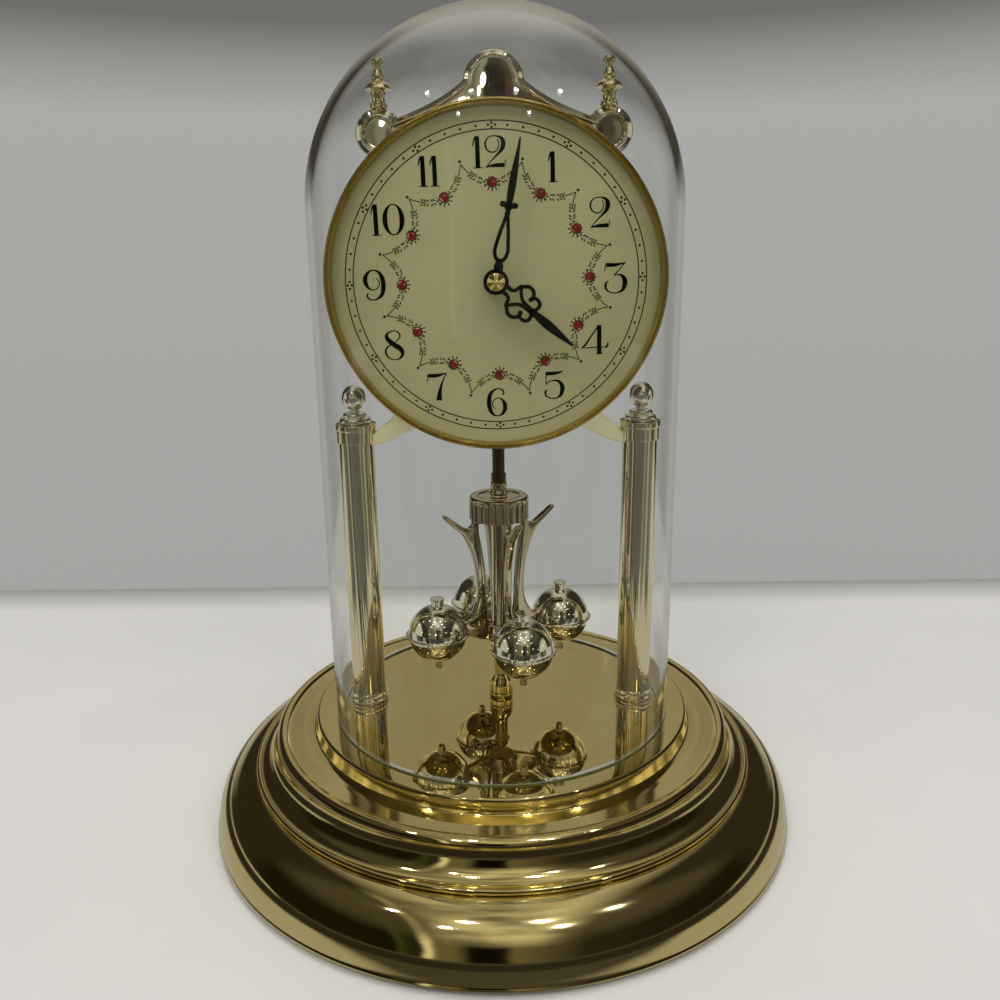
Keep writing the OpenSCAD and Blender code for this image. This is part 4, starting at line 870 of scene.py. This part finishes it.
# %% Minute hand, hour hand and nut
def hand_strands(strands, degrees, front, back):
    """Strips of (along the hand, across it, width), each with its mirror image, turned clockwise to where the hand
    points."""
    a = math.radians(degrees)
    parts = []
    for strand, mirrored in strands:
        p = flowing(strand, 8) if len(strand) > 2 else np.asarray(strand, float)
        for sign in ((1, -1) if mirrored else (1,)):
            line = p[:, :1] * round_dial(a) + sign * p[:, 1:2] * round_dial(a + np.pi / 2) + [0, DIAL_Z]
            parts.append(strip(np.column_stack([line, p[:, 2] + .14]), front, back))
    return parts


def hub(outer, front, back):
    """The flat ring at a hand's root."""
    section = soften([[1.2, -back], [outer, -back], [outer, -front], [1.2, -front]], .2, True)
    return turned(section, (0, 0, DIAL_Z), 64, True, ring=True)


minute_strands = [
    ([(17.1, .32, .9), (13.3, 1.08, .88), (10.0, 1.62, .88), (8.3, 1.78, .9), (6.8, 1.42, .95), (5.9, .72, 1.0),
      (5.6, .1, 1.0)], True),
    ([(3.0, 0, 2.2), (4.3, 0, 2.55), (5.6, 0, 1.5)], False),
    ([(16.6, 0, 1.1), (18, 0, 1.35), (19.3, 0, 1.3), (20.4, 0, 1.5)], False),
    ([(19.6, .3, 1.1), (20.35, .9, 1.35), (20.5, 1.75, 1.45)], True),
    ([(20, 0, 1.3), (22, 0, 1.7), (25, 0, 1.95), (28, 0, 1.8), (33, 0, 1.1), (37.6, 0, .35)], False)]
hour_strands = [
    ([(3.0, .9, 1.3), (4.6, .95, .95), (5.6, 1.5, .9), (5.9, 2.5, .9), (6.1, 3.4, .75)], True),
    ([(6.2, 3.2, .9), (7.0, 3.9, .95), (7.9, 4.65, .95), (9.2, 4.7, .95), (10.3, 4.05, .95), (10.75, 3.0, 1.0),
      (10.6, 2.3, 1.25)], True),
    ([(6.3, 3.3, .9), (7.6, 1.75, .9), (9.2, .62, .95), (11.2, .4, 1.0), (12.8, .35, 1.0)], True),
    ([(10.8, 3.0, .8), (11.7, 3.45, .9), (13.0, 3.2, .95), (13.6, 2.3, .95), (13.4, 1.0, .95), (12.8, .4, 1.0)], True),
    ([(12.4, 0, 1.4), (15, 0, 1.9), (18.5, 0, 2.45), (22, 0, 2.0), (26, 0, 1.0), (27.5, 0, .6)], False)]
MINUTE_AT, HOUR_AT = 10.5, 129.8
MINUTE_DEPTH, HOUR_DEPTH = (-23.9, -23.3), (-21.9, -21.2)
minute_parts = hand_strands(minute_strands, MINUTE_AT, *MINUTE_DEPTH) + [hub(3.5, *MINUTE_DEPTH)]
hour_parts = hand_strands(hour_strands, HOUR_AT, *HOUR_DEPTH) + [hub(3.4, *HOUR_DEPTH)]
make_piece("minute_hand_blacked", minute_parts, hand_lacquer, "minute_shaft", ["minute_hand"])
make_piece("hour_hand_blacked", hour_parts, hand_lacquer, "hour_pipe", ["hour_hand"])
nut = soften([[0, 23.9], [2.55, 23.9], [2.55, 24.5], [2.4, 24.8], [.12, 26.65], [0, 26.7]], .15)
make_piece("hand_nut_turned", [turned(nut, (0, 0, DIAL_Z), 64, True)], spun_brass, "minute_shaft",
           ["hand_nut"])

# %% [markdown]
# ## The pendulum
# A torsion pendulum turns slowly to and fro. From a dark rod hang a plated collar, a fluted cap, a slim column and four
# branching arms with a hollow ball each. The cap's flutes are cut by a round cutter, so its profile is turned with a
# wave in its radius. The arms are cast flat and polished, so their edges are well rounded.

# %% Rod, collar, fluted cap and column
CAP_TOP, CAP_LOW, CAP_R = 105.62, 98.02, 9.5
FLUTES, CUTTER_R, CUTTER_OUT, FLUTE_TOP, FLUTE_END = 26, .95, .15, 1.1, .35
rod = soften([[0, CAP_TOP - .4], [1.95, CAP_TOP - .4], [1.95, CAP_TOP + 4.3], [2.35, CAP_TOP + 4.3],
              [2.35, CAP_TOP + 7], [1.95, CAP_TOP + 7.2], [1.95, 138.32], [3.2, 138.32], [3.2, 138.92], [1.95, 138.92],
              [1.95, 143.82], [0, 143.82]], .12)
make_piece("suspension_rod_bronzed", [turned(rod, turns=48)], dark_bronze, "pendulum", ["suspension_rod"])
# Collar, cap, column and arms take the darkened plate: painted shade.
collar = [[0, -.5], [3, -.5], [3, 1], [2.5, 1.8], [2.6, 2.4], [2.6, 4.0], [2.3, 4.3], [0, 4.3]]
collar = soften(collar, .25) + [0, CAP_TOP]
make_piece("pendulum_collar_plated", [turned(collar, turns=64)], darkened_silver_plate, "pendulum",
           ["pendulum_collar"])


def flute_cut(a, h):
    """Depth of the flutes, left by a round cutter whose centre runs a little outside the rim: the square root of
    (cutter^2 - x^2), less that little, at a distance x from a flute's middle. They run out just below the top."""
    pitch = 2 * np.pi / FLUTES
    x = ((a + pitch / 2) % pitch - pitch / 2) * CAP_R
    groove = np.maximum(np.sqrt(np.maximum(CUTTER_R ** 2 - x ** 2, 0)) - CUTTER_OUT, 0)
    return -groove * np.clip((CAP_TOP - FLUTE_TOP - h) / FLUTE_END, 0, 1)


heights = np.concatenate([[CAP_LOW, CAP_LOW + .1], np.linspace(CAP_LOW + 2, CAP_TOP - 1.5, 5),
                          np.linspace(CAP_TOP - 1.4, CAP_TOP - .7, 7)])
side_line = np.column_stack([np.full(14, CAP_R), heights])
rim_line = np.array([[CAP_R, -.7], [9.35, -.35], [8.8, 0], [6.7, 0], [6.45, -.5], [5, -.5]]) + [0, CAP_TOP]
cap = np.concatenate([[[0, CAP_LOW], [8.7, CAP_LOW]], side_line, soften(rim_line, .3)[1:], [[0, CAP_TOP - .5]]])
make_piece("pendulum_cap_fluted", [turned(cap, turns=FLUTES * 20, wave=flute_cut)], darkened_silver_plate, "pendulum",
           ["pendulum_cap"], 40)
make_piece("pendulum_column_plated", [turned([[0, 57], [2.6, 57], [2.6, CAP_LOW + .2], [0, CAP_LOW + .2]], turns=64)],
           darkened_silver_plate, "pendulum", ["pendulum_column"])

# %% Branching arms
HUB_LOW, ARM_H, BALL_Z, BALL_RING, ARM_TURN = 56.5, 41.52, 61.5, 21.4, 19.2
branch = np.concatenate([
    [[7.0, 1], [9.2, 1], [9.35, .961], [10.6, .937], [11.8, .947], [18.0, 1.063], [18.8, 1.058], [18.9, 1.039]],
    bent((12.6, .894), (8.2, .7), (8.0, .434), 8), bent((8.0, .41), (8.2, .222), (13.9, .159), 6),
    [[13.9, .077], [7.5, .019], [4.0, 0], [4.0, .132]], bent((5.0, .374), (4.8, .639), (7.2, .904), 8)])
branch[:, 1] = HUB_LOW + branch[:, 1] * ARM_H
branch = soften(branch, .9, True, 5)


def round_axis(part, degrees):
    """Turns a part about the clock's upright axis."""
    a = math.radians(degrees)
    turn = np.array([[math.cos(a), math.sin(a), 0], [-math.sin(a), math.cos(a), 0], [0, 0, 1]])
    return (part[0] @ turn, *part[1:])


hub_line = soften([[0, HUB_LOW], [4.6, HUB_LOW], [4.6, HUB_LOW + 5.5], [0, HUB_LOW + 5.5]], .5)
arms = [round_axis(plate(branch, -1.35, 1.35, .8), ARM_TURN + 90 * k) for k in range(4)] + [turned(hub_line, turns=64)]
make_piece("pendulum_arms_cast", arms, darkened_silver_plate, "pendulum", ["pendulum_arms"])

# %% Hollow balls of two halves
BALL_R = 9.5
dome_line = arc((0, 0), (BALL_R, BALL_R), 0, 90, 28)
upper = np.concatenate([[[0, .02], [9.3, .02]], dome_line[dome_line[:, 0] > 2.05],
                        soften([[2.0, 9.3], [2.0, 11.05], [2.3, 11.15], [2.3, 11.85], [2.1, 11.9], [0, 11.9]], .12)])
lower = np.concatenate([[[0, -.02], [10.2, -.02]],
                        soften([[10.35, -.1], [10.35, -.5], [10.1, -.65], [9.43, -.75]], .15),
                        (dome_line * [1, -1])[(dome_line[:, 1] > 1.0) & (dome_line[:, 0] > 1.25)],
                        soften([[1.2, -9.42], [1.2, -12.1], [1.0, -12.3], [0, -12.3]], .12)])
turns = np.radians(ARM_TURN + 90 * np.arange(4))
seats = np.column_stack([BALL_RING * np.cos(turns), BALL_RING * np.sin(turns), np.full(4, BALL_Z)])
make_piece("ball_tops", [turned(upper, s, 96) for s in seats], silver_plate, "pendulum", ["ball_uppers"])
make_piece("ball_bowls", [turned(lower, s, 96) for s in seats], silver_plate, "pendulum",
           ["ball_lowers"])

# %% [markdown]
# ## The glass dome
# The dome is blown glass two millimetres thick, with a ground rim that stands on the deck. It is modelled as the real
# wall with an inside and an outside face, because the bright and dark bands at its edge come from light bending
# through that wall. Lamp light passes it as if it were clear, so the clock inside is lit without grainy spots.

# %% Clear glass
clear_glass, nodes, shader = new_finish("clear_glass")
drift = noise(nodes, add_node(nodes, "TexCoord").outputs["Object"], 14, 2)
bumped(nodes, shader, drift, .015, .0004)
join(nodes, shader, Base_Color=colour_steps(nodes, drift, [(.3, (.975, .985, .975)), (.7, (.99, .995, .99))]))
for socket, value in (("Transmission Weight", 1), ("IOR", 1.48), ("Roughness", 0), ("Specular Tint", (.4, .4, .4, 1))):
    shader.inputs[socket].default_value = value
shadow_ray = add_node(nodes, "LightPath").outputs["Is Shadow Ray"]
clear = add_node(nodes, "BsdfTransparent", {"Color": (.96, .975, .965, 1)}).outputs[0]
through = add_node(nodes, "MixShader", {0: shadow_ray, 1: shader.outputs[0], 2: clear}).outputs[0]
nodes.links.new(through, nodes.nodes["Material Output"].inputs["Surface"])
print("nodes that make the glass:", len(nodes.nodes))

# %% Dome wall
GLASS_OUT, GLASS_IN, RIM_TOP, SPRING = 55, 53, 35.6, 192


def glass_face(radius):
    """One face of the wall: straight up from the rim to the spring line, then a quarter circle to the top."""
    straight = np.linspace(RIM_TOP, SPRING, 40)[:-1]
    quarter = arc((0, SPRING), (radius, radius), 0, 90, 64)
    return np.concatenate([np.column_stack([np.full(39, float(radius)), straight]), quarter])


wall = np.concatenate([glass_face(GLASS_OUT), glass_face(GLASS_IN)[::-1]])
make_piece("glass_dome_blown", [turned(wall, turns=192, ring=True)], clear_glass, "dome", ["glass_dome"])
ground_glass = drifting("ground_glass", [(.13, .15, .07), (.20, .23, .12)], (.45, .6), 1400, 4)[0]
ground_rim = soften([[GLASS_IN, 35.55], [GLASS_IN, DECK], [GLASS_OUT, DECK], [GLASS_OUT, 35.55]], .2, True)
make_piece("dome_ground_rim", [turned(ground_rim, turns=192, ring=True)], ground_glass, "dome")

# %% [markdown]
# ## Finishes of the pieces that stay as they are
# The dial plate, the case, the movement and the base's underside keep their own shapes. Each gets the finish of its
# real material: mottled enamel, moulded plastic with a fine grain, wound copper, steel with a brushed tooth, felt and
# board.

# %% Dial enamel
dial_enamel, nodes, shader, _ = drifting(
    "dial_enamel", [(.35, .322, .158), (.39, .362, .184)], (.3, .4), 28, 5, .55, steps=(.32, .68))
bumped(nodes, shader, noise(nodes, add_node(nodes, "TexCoord").outputs["Object"], 1800, 3), .08, .00003)
print("enamel drifts between two creams")

# %% Plastic, cloth and winding finishes
def grained(name, tones, rough, scale, bump):
    """A non-metal with grain: noise on the clock's coordinates drives tone, roughness and bump together."""
    finish, nodes, shader, grain = drifting(name, tones, rough, scale, 6, .65, dull=(.25, .75))
    bumped(nodes, shader, grain, bump, .0002)
    return finish


CARRIED = {
    "base_plate": grained("pressed_board", [(.10, .07, .045), (.16, .115, .075)], (.7, .9), 700, .5),
    "base_pads": grained("felt", [(.012, .035, .02), (.03, .07, .04)], (.9, 1), 2600, 1),
    "dial_plate": dial_enamel,
    "drum_case rear_cover battery_door drive_bracket":
        grained("case_plastic", [(.022, .021, .02), (.036, .034, .032)], (.38, .55), 1900, .35),
    "battery": grained("battery_wrap", [(.03, .032, .036), (.05, .052, .058)], (.25, .35), 300, .1),
    "intermediate_wheel seconds_wheel third_wheel centre_wheel minute_wheel hour_wheel":
        grained("gear_plastic", [(.62, .58, .46), (.72, .68, .56)], (.35, .5), 1500, .2),
    "set_knob": grained("knob_plastic", [(.03, .03, .03), (.05, .048, .045)], (.3, .45), 1700, .3),
    "circuit_board": grained("board_green", [(.01, .07, .03), (.02, .11, .05)], (.35, .5), 900, .2),
    "motor_coil drive_coil": metal("wound_copper", [(.36, .13, .05), (.62, .26, .12)], (.25, .4), 1800, None, .8),
    "rotor drive_magnet": metal("magnet", [(.09, .09, .10), (.15, .15, .16)], (.4, .55), 500, None, .5),
    "battery_contacts front_plate back_plate":
        metal("contact_brass", [(.55, .42, .17), (.68, .53, .24)], (.22, .36), 260, None, .4),
    "quartz_crystal": metal("can_metal", [(.55, .55, .54), (.68, .68, .66)], (.18, .3), 300, None, .3),
    "plate_screws deck_nuts tie_rods bridge_screws cover_screws plate_posts stator minute_arbor":
        metal("steel", [(.42, .42, .41), (.58, .57, .55)], (.2, .34), 350, None, .4),
}
dressed = 0
for names, finish in CARRIED.items():
    for name in names.split():
        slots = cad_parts[name].data.materials
        slots.clear()
        slots.append(finish)
        dressed += 1
print("carried-over pieces with a finish of their own:", dressed)
